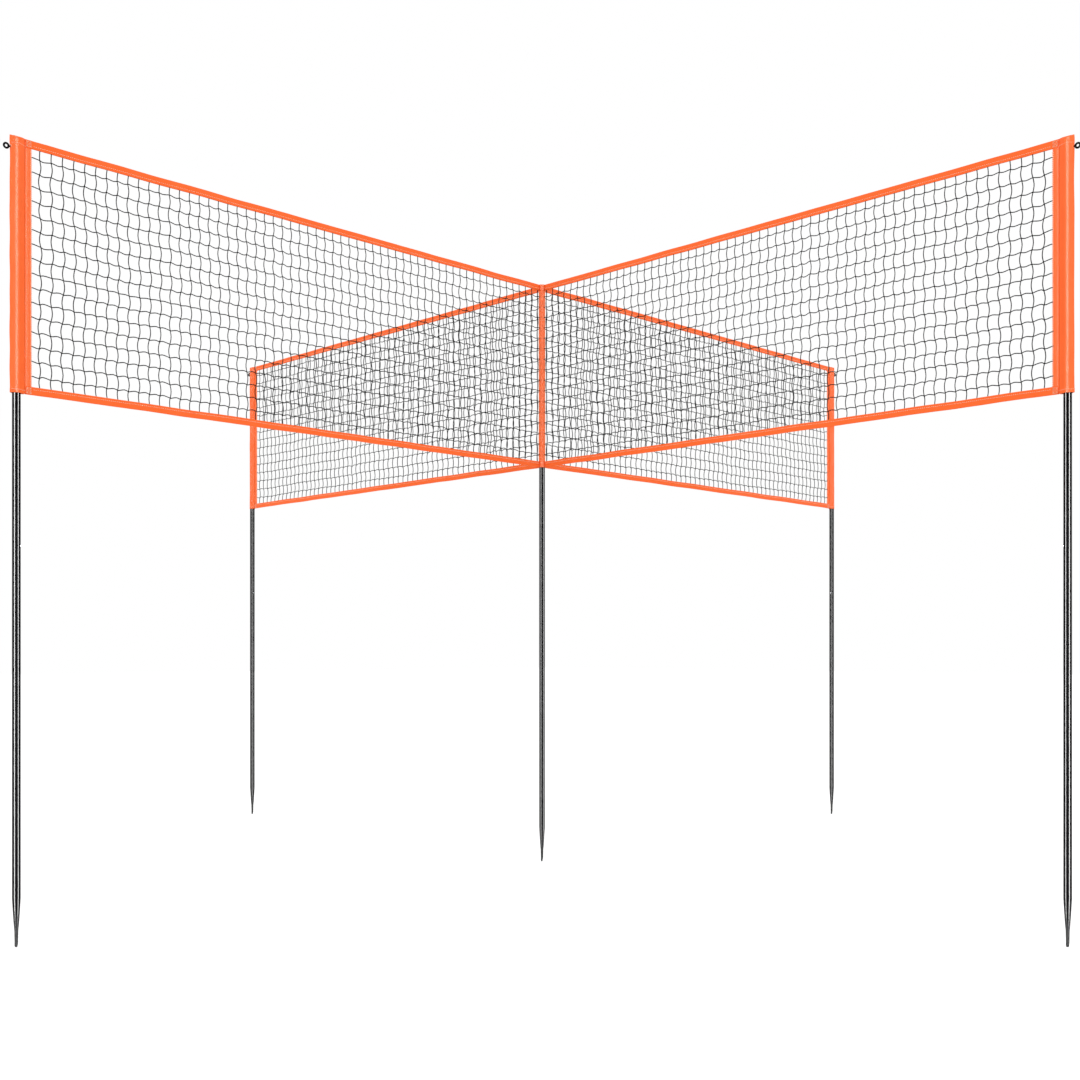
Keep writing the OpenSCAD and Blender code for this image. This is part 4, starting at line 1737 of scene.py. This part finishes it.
@dataclass
class NettingPanel:
    """A panel of knotted twine: upright twines, level twines and a knot at each crossing."""

    arm: Arm
    low: float
    high: float
    centre_face: float
    band_edge: float
    first_row: float
    last_row: float
    twine: float = 0.0029
    row_pitch: float = 0.03975
    column_pitch: float = 0.0324
    first_column: float = 0.056
    last_gap: float = 0.015
    selvedge: float = 0.0245
    selvedge_half: float = 0.0008
    selvedge_twine: float = 0.0018
    bow: float = 0.0033
    sag: Tuple[float, float] = (0.003, 0.0043)
    deep_sag: float = 0.0048
    deep_every: int = 11
    wander_along: float = 0.0016
    wander_across: float = 0.003
    flutter: float = 0.0006
    wander_up: float = 0.0012
    band_rise: float = 0.0045
    band_dip: float = 0.002
    sides: int = 6
    cell_steps: int = 6
    knot_size: float = 0.0015
    knot_twine: float = 0.0011
    knot_points: int = 12

    @property
    def columns(self) -> Array:
        """Where the upright twines stand, from the one nearest the centre pole."""
        return np.arange(self.first_column, self.band_edge - self.last_gap, self.column_pitch)

    @property
    def rows(self) -> Array:
        """The heights of the level twines, from the top."""
        count = int(round((self.first_row - self.last_row) / self.row_pitch)) + 1
        return self.first_row - self.row_pitch * np.arange(count)

    def drift(self, x: Array, z: Array) -> Tuple[Array, Array, Array]:
        """The slow wander of the whole net: the knots move with it.

        It is made of ripples. It dies out at the panel's top and bottom, and the move out of
        its plane is smaller near the poles. Just before the sleeve's band the twines rise.

        Args:
            x: distances from the centre pole's axis.
            z: heights.

        Returns:
            The move along the panel, out of its plane, and up.
        """
        inside = smooth_step((self.high - z) / 0.05) * smooth_step((z - self.low) / 0.05)
        held = smooth_step((self.band_edge - x) / 0.12) * smooth_step((x - 0.01) / 0.12)
        seed = self.arm.value
        along = self.wander_along * Ripple(101, 0.42).at(x, 1.4 * z)
        across = self.wander_across * Ripple(103 + seed, 0.75).at(x, 1.3 * z)
        across = across * (0.25 + 0.75 * held) + self.flutter * Ripple(107 + seed, 0.11).at(x, z)
        lift = self.wander_up * Ripple(109, 0.13).at(x, 0.25 * z)
        lift = lift + self.wander_up * Ripple(113, 0.5).at(x, z)
        off_band = self.band_edge - x
        lift = lift + self.band_rise * smooth_step(1 - off_band / 0.026)
        lift = lift - self.band_dip * np.exp(-off_band / 0.05)
        return along * inside, across * inside, lift * inside

    def cell_wave(self, z: Array) -> Array:
        """sin(pi (first row - z) / row pitch): 0 at each row, and 1 or -1 midway."""
        return np.sin(math.pi * (self.first_row - z) / self.row_pitch)

    def upright_bow(self, z: Array) -> Array:
        """How far an upright twine bows along the panel.

        It bows to one side between two knots and to the other in the next cell, by bow times
        the cell's wave, and the bow dies out beyond the outer rows.

        Args:
            z: heights.

        Returns:
            The move along the panel at each height.
        """
        fade = smooth_step((self.high - z) / 0.07) * smooth_step((z - self.low) / 0.05)
        return -self.bow * self.cell_wave(z) * np.minimum(1.0, 1.15 * fade)

    def level_sag(self, x: Array, z: Array) -> Array:
        """How far a level twine hangs below the line between its two knots.

        With s the share of the cell from the outer knot to the inner one, the twine falls as
        depth sin(pi s^p). Most cells have p = 1.5, so the twine hangs low near its inner end,
        and rises a little just after its outer knot. A deep cell comes at regular steps, with
        p = 0.6, so it hangs low near its outer end. Low in the panel the sag turns over.

        Args:
            x: distances from the centre pole's axis.
            z: heights.

        Returns:
            The drop at each point.
        """
        place = (self.columns[-1] - x) / self.column_pitch + 1
        cell = np.floor(place).astype(int)
        s = place - cell
        rng = np.random.default_rng(17)
        depths = rng.uniform(*self.sag, 80)
        deep = (cell + 10) % self.deep_every == 0
        depth = np.where(cell < 1, 0.0, np.where(deep, self.deep_sag, depths[cell]))
        rise = 0.0007 * np.exp(-(((s - 0.1) / 0.09) ** 2)) * np.where(deep, 0.0, 1.0)
        rise = rise * np.sin(math.pi * np.minimum(1.0, 6 * s) / 2)
        drop = depth * np.sin(math.pi * s ** np.where(deep, 0.6, 1.5)) - rise
        turned = 1 - 2 * smooth_step((self.first_row - 0.29 - z) / 0.04)
        return drop * turned * (0.9 + 0.12 * Ripple(127, 0.21).at(x, 0.3 * z))

    def upright_twines(self) -> Patch:
        """The upright twines, from fold to fold of the two tapes, and the doubled selvedge.

        Returns:
            The twines, in the arm's local frame.
        """
        steps = int((self.high - self.low) / self.row_pitch * self.cell_steps)
        z = np.linspace(self.low, self.high, steps)[None, :]
        bow = self.upright_bow(z)
        paths = [self.path(self.columns[:, None], z, bow, 0.0)]
        for side in (1.0, -1.0):
            apart = side * self.selvedge_half * (0.45 + np.abs(self.cell_wave(z)))
            paths.append(self.path(np.array([[self.selvedge]]), z, 0.5 * bow + apart, 0.0))
        points = np.concatenate(paths)
        radius = np.full((len(points), 1), self.twine / 2)
        radius[-2:] = self.selvedge_twine / 2
        return swept_tubes(points, radius, self.sides, Y_AXIS, ends=Ends.FAN)

    def level_twines(self) -> Patch:
        """The level twines, from the centre sleeve to just inside the corner sleeve's band.

        Returns:
            The twines, in the arm's local frame.
        """
        span = self.band_edge - self.centre_face
        steps = int(span / self.column_pitch * (self.cell_steps - 1))
        x = np.linspace(self.centre_face, self.band_edge, steps)[None, :]
        z = self.rows[:, None]
        ends = smooth_step((x - self.centre_face) / 0.012)
        paths = self.path(x, z, 0.0, -self.level_sag(x, z) * ends)
        return swept_tubes(paths, self.twine / 2, self.sides, Y_AXIS, ends=Ends.FAN)

    def path(self, x: Array, z: Array, along: Numbers, up: Numbers) -> Array:
        """Points of twines at (x, z), moved by the drift and by each twine's own bend.

        Args:
            x: distances from the centre pole's axis.
            z: heights.
            along: the twine's own move along the panel.
            up: its own move up.

        Returns:
            Points of shape (twines, steps, 3).
        """
        dx, dy, dz = self.drift(x, z)
        return np.stack(np.broadcast_arrays(x + dx + along, dy, z + dz + up), axis=-1)

    def knots(self) -> Patch:
        """A turn of twine round each crossing.

        It is a closed loop with points (1.1 a cos t, a sin t, 0.6 a sin 2t), tilted about the
        panel's normal one way and the other in turn.

        Returns:
            The loops.
        """
        x = np.concatenate([[self.selvedge], self.columns])[None, :]
        z = self.rows[:, None]
        centres = self.path(x, z, 0.0, 0.0).reshape(-1, 1, 3)
        count = len(centres)
        rng = np.random.default_rng(7)
        t = full_turn(self.knot_points)[None, :] + rng.uniform(0, 0.5, (count, 1))
        size = self.knot_size * rng.uniform(0.88, 1.12, (count, 1))
        tilt = np.where(np.arange(count) % 2, 1.0, -1.0)[:, None]
        tilt = tilt * rng.uniform(0.35, 0.7, (count, 1))
        along, across = size * np.cos(t) * 1.1, size * np.sin(t)
        up = size * (0.6 * np.sin(2 * t))
        turned = np.stack(
            [
                along * np.cos(tilt) - up * np.sin(tilt),
                across,
                along * np.sin(tilt) + up * np.cos(tilt),
            ],
            axis=-1,
        )
        return swept_tubes(centres + turned, self.knot_twine / 2, 4, unit(turned), closed=True)

    def build(self, finishes: Finishes) -> None:
        """Makes the panel's twines and knots.

        Args:
            finishes: the shared finishes.
        """
        label = self.arm.label
        uprights = self.upright_twines().on(self.arm)
        levels = self.level_twines().on(self.arm)
        node = f"netting_{label}"
        net_piece(f"{node}_uprights", uprights, finishes.twine, [node])
        net_piece(f"{node}_levels", levels, finishes.twine, [node])
        net_piece(f"{node}_knots", self.knots().on(self.arm), finishes.knot)


# ---------------------------------------------------------------------------
# Snap springs
# ---------------------------------------------------------------------------


@dataclass(frozen=True)
class SnapSpring:
    """A hairpin of steel strip in an upper tube, which yields as its button is pressed."""

    place: str
    thick: float = 0.0006
    width: float = 0.005
    bend: float = 0.0016
    edge: float = 0.0001

    @property
    def node(self) -> str:
        """The name of the solid that the strip stands for."""
        return f"snap_spring_{self.place}"

    @property
    def joint(self) -> Dict:
        """The joint along which the button is pressed."""
        return next(j for j in frame["joints"] if j["name"] == f"button_press_{self.place}")

    @property
    def press(self) -> Array:
        """The unit vector along which the button is pressed."""
        return np.array(self.joint["axis"], float)

    def span(self) -> Array:
        """Where the near and the far leg's outer faces lie along the press direction."""
        low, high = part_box(self.node)
        return np.sort([np.array(low) @ self.press, np.array(high) @ self.press])

    def route(self) -> Array:
        """The strip's middle line: up the far leg, over the bend and down the near leg.

        The bend is a half circle of radius bend, whose middle lies bend inside the far leg
        and bend + thick / 2 below the spring's top. The near leg slopes from the bend's end
        to the top of the button's flange and then runs straight down behind it.

        Returns:
            Distances along the press direction and heights, of shape (rows, 2).
        """
        low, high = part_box(self.node)
        near, far = self.span() + np.array([0.5, -0.5]) * self.thick
        flange_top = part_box(f"snap_button_{self.place}")[1].z
        middle = high.z - self.thick / 2 - self.bend
        turn = np.linspace(0, math.pi, 15)
        bend = np.stack(
            [far - self.bend + self.bend * np.cos(turn), middle + self.bend * np.sin(turn)], axis=1
        )
        foot = [[near, flange_top], [near, low.z]]
        return np.concatenate([[[far, low.z]], bend, foot])

    def strip(self) -> Patch:
        """The strip as one closed wall, its section a flat bar with small bevels.

        With w the unit vector across the strip and t its tangent, a section's point is
        route + w across + (w x t) off.

        Returns:
            The patch.
        """
        low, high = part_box(self.node)
        across = np.cross(Z_AXIS, self.press)
        middle = (np.array(low) + np.array(high)) / 2
        route = self.route()
        line = route[:, :1] * self.press + route[:, 1:] * Z_AXIS + across * (middle @ across)
        tangent = unit(np.gradient(line, axis=0))
        normal = np.cross(across, tangent)
        wide, half, edge = self.width / 2, self.thick / 2, self.edge
        places = [-wide, -wide + edge, -wide + 4 * edge, wide - 4 * edge, wide - edge, wide]
        side = np.stack([places, [half - edge, half, half, half, half, half - edge]], axis=1)
        ring = np.concatenate([side, side[::-1] * [1, -1]])
        points = line[:, None] + ring[:, :1] * across + normal[:, None] * ring[:, 1:]
        uv = uv_grid(run_length(ring, closed=True), run_length(line))
        return grid_patch(points[None], uv[None], ends=Ends.STRIP)

    def build(self, finishes: Finishes) -> None:
        """Makes the strip, which rides with the net as one rigid piece.

        The legs' span and the button's travel are read, but nothing moves the near leg
        with the button.

        Args:
            finishes: the shared finishes.
        """
        piece = net_piece(
            f"{self.node}_strip", self.strip(), finishes.spring, [self.node]
        )
        near, far = self.span()
        travel = max(self.joint["range_m"])
        tuple(self.press)
        tuple(self.press * far)
        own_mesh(piece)


# ---------------------------------------------------------------------------
# Studio
# ---------------------------------------------------------------------------


@dataclass
class Camera:
    """A level camera that looks along the cross's diagonal.

    With f the focal length in pixels, the lens is f times the sensor's width over the
    picture's. The shift is the distance of the horizon, and of the cross's middle, from the
    picture's middle, over the picture's width.
    """

    distance: float = 4.8847
    height: float = 0.796
    focal_pixels: float = 1290.0
    horizon_row: float = 651.0
    middle_column: float = 542.0
    picture: float = 1080.0
    sensor: float = 36.0

    def build(self) -> None:
        """Makes the camera and gives it to the scene."""
        data = bpy.data.cameras.new("camera")
        data.sensor_width = self.sensor
        data.lens = self.sensor * self.focal_pixels / self.picture
        data.shift_x = (self.picture / 2 - self.middle_column) / self.picture
        data.shift_y = (self.horizon_row - self.picture / 2) / self.picture
        data.clip_end = 200.0
        camera = bpy.data.objects.new("camera", data)
        side = self.distance / math.sqrt(2)
        camera.location = (-side, -side, self.height)
        camera.rotation_euler = Vector((1, 1, 0)).to_track_quat("-Z", "Y").to_euler()
        bpy.context.scene.collection.objects.link(camera)
        bpy.context.scene.camera = camera
        LOG.info("made the camera")


def seen_from_camera(right: float, toward: float, height: float) -> Vector:
    """A place by its distance right of the centre pole and toward the camera.

    Args:
        right: metres to the camera's right.
        toward: metres toward the camera.
        height: metres above the ground.

    Returns:
        The place in the object's frame: right (1, -1) / sqrt 2 + toward (-1, -1) / sqrt 2.
    """
    k = 1 / math.sqrt(2)
    return Vector((k * (right - toward), k * (-right - toward), height))

def stage_sheet(
    name: str, corners: Sequence[Point], material: bpy.types.Material
) -> bpy.types.Object:
    """Makes a flat sheet of the studio, which is not part of the object.

    Args:
        name: the sheet's name.
        corners: its four corners, in order round it.
        material: its finish.

    Returns:
        The sheet, linked to the scene.
    """
    mesh = bpy.data.meshes.new(name)
    mesh.from_pydata(corners, [], [(0, 1, 2, 3)])
    mesh.materials.append(material)
    sheet = bpy.data.objects.new(name, mesh)
    bpy.context.scene.collection.objects.link(sheet)
    sheet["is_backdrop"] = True
    return sheet
OTHER_SIDE = {
    Arm.WEST: Arm.SOUTH, Arm.NORTH: Arm.EAST, Arm.SOUTH: Arm.WEST, Arm.EAST: Arm.NORTH
}


@dataclass(frozen=True)
class Card:
    """A tall bright card that only shows in the reflections of one pole's pieces.

    Seen from its pole it stands at heading, in degrees to the right of straight toward the
    camera, and covers spread degrees.
    """

    pole: Optional[Arm]
    heading: float
    spread: float
    light: float
    distance: float = 1.0
    low: float = -0.3
    high: float = 2.3

    def mirrored(self) -> "Card":
        """The same card for the pole on the other side of the picture."""
        return replace(self, pole=OTHER_SIDE[self.pole], heading=-self.heading)

    def corners(self, arm_length: float) -> List[Point]:
        """The card's four corners.

        Args:
            arm_length: the distance of a corner pole from the centre.

        Returns:
            The corners, in order round the card.
        """
        turn = math.radians(self.heading)
        ahead = seen_from_camera(math.sin(turn), math.cos(turn), 0.0)
        middle = ahead * self.distance
        if self.pole is not None:
            middle += Vector(self.pole.world(np.array([arm_length, 0.0, 0.0])))
        half = self.distance * math.tan(math.radians(self.spread) / 2)
        side = Vector((-ahead.y, ahead.x, 0.0)) * half
        places = ((-1, self.low), (1, self.low), (1, self.high), (-1, self.high))
        return [(middle + side * way + Vector((0, 0, z)))[:] for way, z in places]

    def build(
        self, name: str, arm_length: float, things: Sequence[bpy.types.Object]
    ) -> None:
        """Makes the card.

        Args:
            name: the card's name.
            arm_length: the distance of a corner pole from the centre.
            things: the pieces it may light; it lights those of its own pole.
        """
        material = bpy.data.materials.new(name)
        nodes = Nodes(material).cleared()
        glow = nodes.node("ShaderNodeEmission", {1: self.light})
        nodes.node("ShaderNodeOutputMaterial", {0: glow.outputs[0]})
        card = stage_sheet(name, self.corners(arm_length), material)
        card.visible_camera = False
        card.visible_diffuse = False
        card.visible_shadow = False
        card.visible_transmission = False
        label = self.pole.label if self.pole is not None else "centre"
        lit = bpy.data.collections.new(name)
        for thing in things:
            if label in thing.name:
                lit.objects.link(thing)
        card.light_linking.receiver_collection = lit


NEAR_STEEL = (Card(Arm.WEST, -26.0, 20.0, 180.0), Card(Arm.WEST, 74.5, 18.0, 150.0))
FAR_STEEL = (Card(Arm.NORTH, -7.7, 18.0, 86.0), Card(Arm.NORTH, 40.3, 18.0, 86.0))
CENTRE_STEEL = (
    Card(None, -36.0, 20.0, 84.0), Card(None, 60.0, 20.0, 91.0), Card(None, -85.0, 60.0, 12.0)
)
STEEL_CARDS = (
    *NEAR_STEEL, *(card.mirrored() for card in NEAR_STEEL),
    *FAR_STEEL, *(card.mirrored() for card in FAR_STEEL),
    *CENTRE_STEEL,
)
NEAR_CLOTH = Card(Arm.WEST, 30.0, 48.0, 26.0, low=1.3, high=3.2)
FAR_CLOTH = Card(Arm.NORTH, -57.0, 12.0, 26.0, low=1.3, high=3.2)
CENTRE_CLOTH = Card(None, 0.0, 20.0, 26.0, low=1.3, high=3.2)
CLOTH_CARDS = (
    NEAR_CLOTH, NEAR_CLOTH.mirrored(), FAR_CLOTH, FAR_CLOTH.mirrored(), CENTRE_CLOTH
)


@dataclass
class Studio:
    """A white room: a floor that keeps a faint shadow, and soft lamps."""

    floor_half: float = 40.0
    floor_colour: Colour = (0.8, 0.8, 0.8)
    floor_glow: float = 0.3
    room_light: float = 1.14
    aim_height: float = 1.5

    def world(self) -> None:
        """Lights the room evenly, and shows it white to the eye and in reflections."""
        world = bpy.data.worlds.new("white_room")
        nodes = Nodes(world).cleared()
        rays = nodes.node("ShaderNodeLightPath").outputs
        shown = nodes.maths("ADD", rays["Is Camera Ray"], rays["Is Glossy Ray"])
        shown = nodes.maths("ADD", shown, rays["Is Transmission Ray"])
        level = nodes.spread(shown, 0.0, 1.0, self.room_light, 1.0)
        back = nodes.node("ShaderNodeBackground", {0: (1, 1, 1, 1), 1: level})
        nodes.node("ShaderNodeOutputWorld", {0: back.outputs[0]})
        bpy.context.scene.world = world

    def floor(self) -> None:
        """A wide pale floor that glows a little, so that only the shadow is not white."""
        material = bpy.data.materials.new("floor_white")
        nodes = Nodes(material).cleared()
        seen = nodes.node("ShaderNodeLightPath").outputs["Is Camera Ray"]
        matt = nodes.node("ShaderNodeBsdfDiffuse", {0: (*self.floor_colour, 1)})
        glow = nodes.node(
            "ShaderNodeEmission", {1: nodes.maths("MULTIPLY", seen, self.floor_glow)}
        )
        both = nodes.node("ShaderNodeAddShader", {0: matt.outputs[0], 1: glow.outputs[0]})
        nodes.node("ShaderNodeOutputMaterial", {0: both.outputs[0]})
        h = self.floor_half
        corners = [(-h, -h, 0.0), (h, -h, 0.0), (h, h, 0.0), (-h, h, 0.0)]
        stage_sheet("floor", corners, material).visible_glossy = False

    def lamp(
        self, name: str, place: Vector, size: float, power: float, glare: bool = True
    ) -> None:
        """A soft square lamp that looks at the middle of the net.

        Args:
            name: the lamp's name.
            place: where it stands.
            size: its side.
            power: its power in watts.
            glare: whether it shows in glossy surfaces.
        """
        data = bpy.data.lights.new(name, "AREA")
        data.shape = "SQUARE"
        data.size = size
        data.energy = power
        lamp = bpy.data.objects.new(name, data)
        lamp.location = place
        lamp.visible_glossy = glare
        aim = Vector((0, 0, self.aim_height)) - place
        lamp.rotation_euler = aim.to_track_quat("-Z", "Y").to_euler()
        bpy.context.scene.collection.objects.link(lamp)

    def build(self, arm_length: float) -> None:
        """Makes the room, the lamps and the cards, and sets the plain view transform.

        Args:
            arm_length: the distance of a corner pole from the centre.
        """
        self.world()
        self.floor()
        for name, right in (("lamp_left", -3.5), ("lamp_right", 3.5)):
            self.lamp(name, seen_from_camera(right, 6.5, 3.5), size=3.0, power=24.0, glare=False)
        self.lamp("lamp_back", seen_from_camera(0.0, -6.5, 5.5), size=4.0, power=40.0)
        solids = [
            solid for name, solid in frame["nodes"].items() if not name.startswith("guy_eye")
        ]
        cloth = [
            thing
            for thing in bpy.context.scene.objects
            if thing.name.startswith(("sleeve_", "centre_band_"))
            and thing.name.endswith(("_cloth", "_sewing"))
        ]
        for kind, cards, things in (("steel", STEEL_CARDS, solids), ("cloth", CLOTH_CARDS, cloth)):
            for number, card in enumerate(cards):
                card.build(f"card_{kind}_{number}", arm_length, things)
        bpy.context.scene.view_settings.view_transform = "Standard"
        LOG.info("made the room and its light")


# ---------------------------------------------------------------------------
# The whole net
# ---------------------------------------------------------------------------


@dataclass
class NetSizes:
    """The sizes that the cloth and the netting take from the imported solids.

    The last four say how far the bands, rows and twines lie from what they touch or follow.
    """

    arm_length: float
    top: float
    bottom: float
    tape_height: float
    tape_start: float
    tape_end: float
    netting_low: float
    netting_high: float
    band_rise: float = 0.0004
    row_gap: float = 0.023
    twine_tuck: float = 0.0003
    band_overlap: float = 0.002

    @staticmethod
    def from_frame() -> "NetSizes":
        """Reads the boxes of the east arm's solids.

        Returns:
            The sizes.
        """
        tape_low, tape_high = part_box("top_tape_east")
        bottom_low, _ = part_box("bottom_tape_east")
        netting_low, netting_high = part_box("netting_east")
        pole_low, pole_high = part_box("middle_section_east")
        return NetSizes(
            arm_length=(pole_low.x + pole_high.x) / 2,
            top=tape_high.z,
            bottom=bottom_low.z,
            tape_height=tape_high.z - tape_low.z,
            tape_start=tape_low.x,
            tape_end=tape_high.x,
            netting_low=netting_low.z,
            netting_high=netting_high.z,
        )


def build_net(sizes: NetSizes, finishes: Finishes) -> None:
    """Makes the cloth and the netting of the centre and of all four arms.

    Args:
        sizes: the sizes read from the frame.
        finishes: the shared finishes.
    """
    top, bottom, tape = sizes.top, sizes.bottom, sizes.tape_height
    centre = CentreSleeve(bottom, top)
    centre.build(finishes, tape)
    CentreBand("centre_band_top", top - tape, top + sizes.band_rise).build(finishes)
    CentreBand("centre_band_bottom", bottom, bottom + tape).build(finishes)
    for arm in Arm:
        sleeve = CornerSleeve(arm, sizes.arm_length, bottom, top)
        sleeve.build(finishes, tape)
        band_edge = sizes.arm_length - sleeve.seam_reach - sleeve.band_width
        for edge, z in ((Edge.TOP, top), (Edge.BOTTOM, bottom)):
            NetTape(arm, edge, z, sizes.tape_start, sizes.tape_end, band_edge).build(finishes)
        NettingPanel(
            arm,
            low=sizes.netting_low,
            high=sizes.netting_high,
            centre_face=centre.radius - sizes.twine_tuck,
            band_edge=band_edge + sizes.band_overlap,
            first_row=top - tape - sizes.row_gap,
            last_row=bottom + tape + sizes.row_gap,
        ).build(finishes)


def save_sizes() -> None:
    """Puts the solids' box and the finished object's box in plain lists, which are not written
    out.
    """
    boxes = {
        name: [[float(v) for v in corner] for corner in box]
        for name, box in (("cad", CAD_BOX), ("visual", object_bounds()))
    }


def main() -> None:
    """Builds the camera, the finishes, the net, the springs and the studio, in that order."""
    logging.basicConfig(level=logging.INFO, format="%(message)s")
    Camera().build()
    finishes = Finishes()
    finishes.dress_solids(frame["nodes"])
    sizes = NetSizes.from_frame()
    build_net(sizes, finishes)
    for place in [arm.label for arm in Arm] + ["centre"]:
        SnapSpring(place).build(finishes)
    Studio().build(sizes.arm_length)
    save_sizes()


if __name__ == "__main__":
    main()
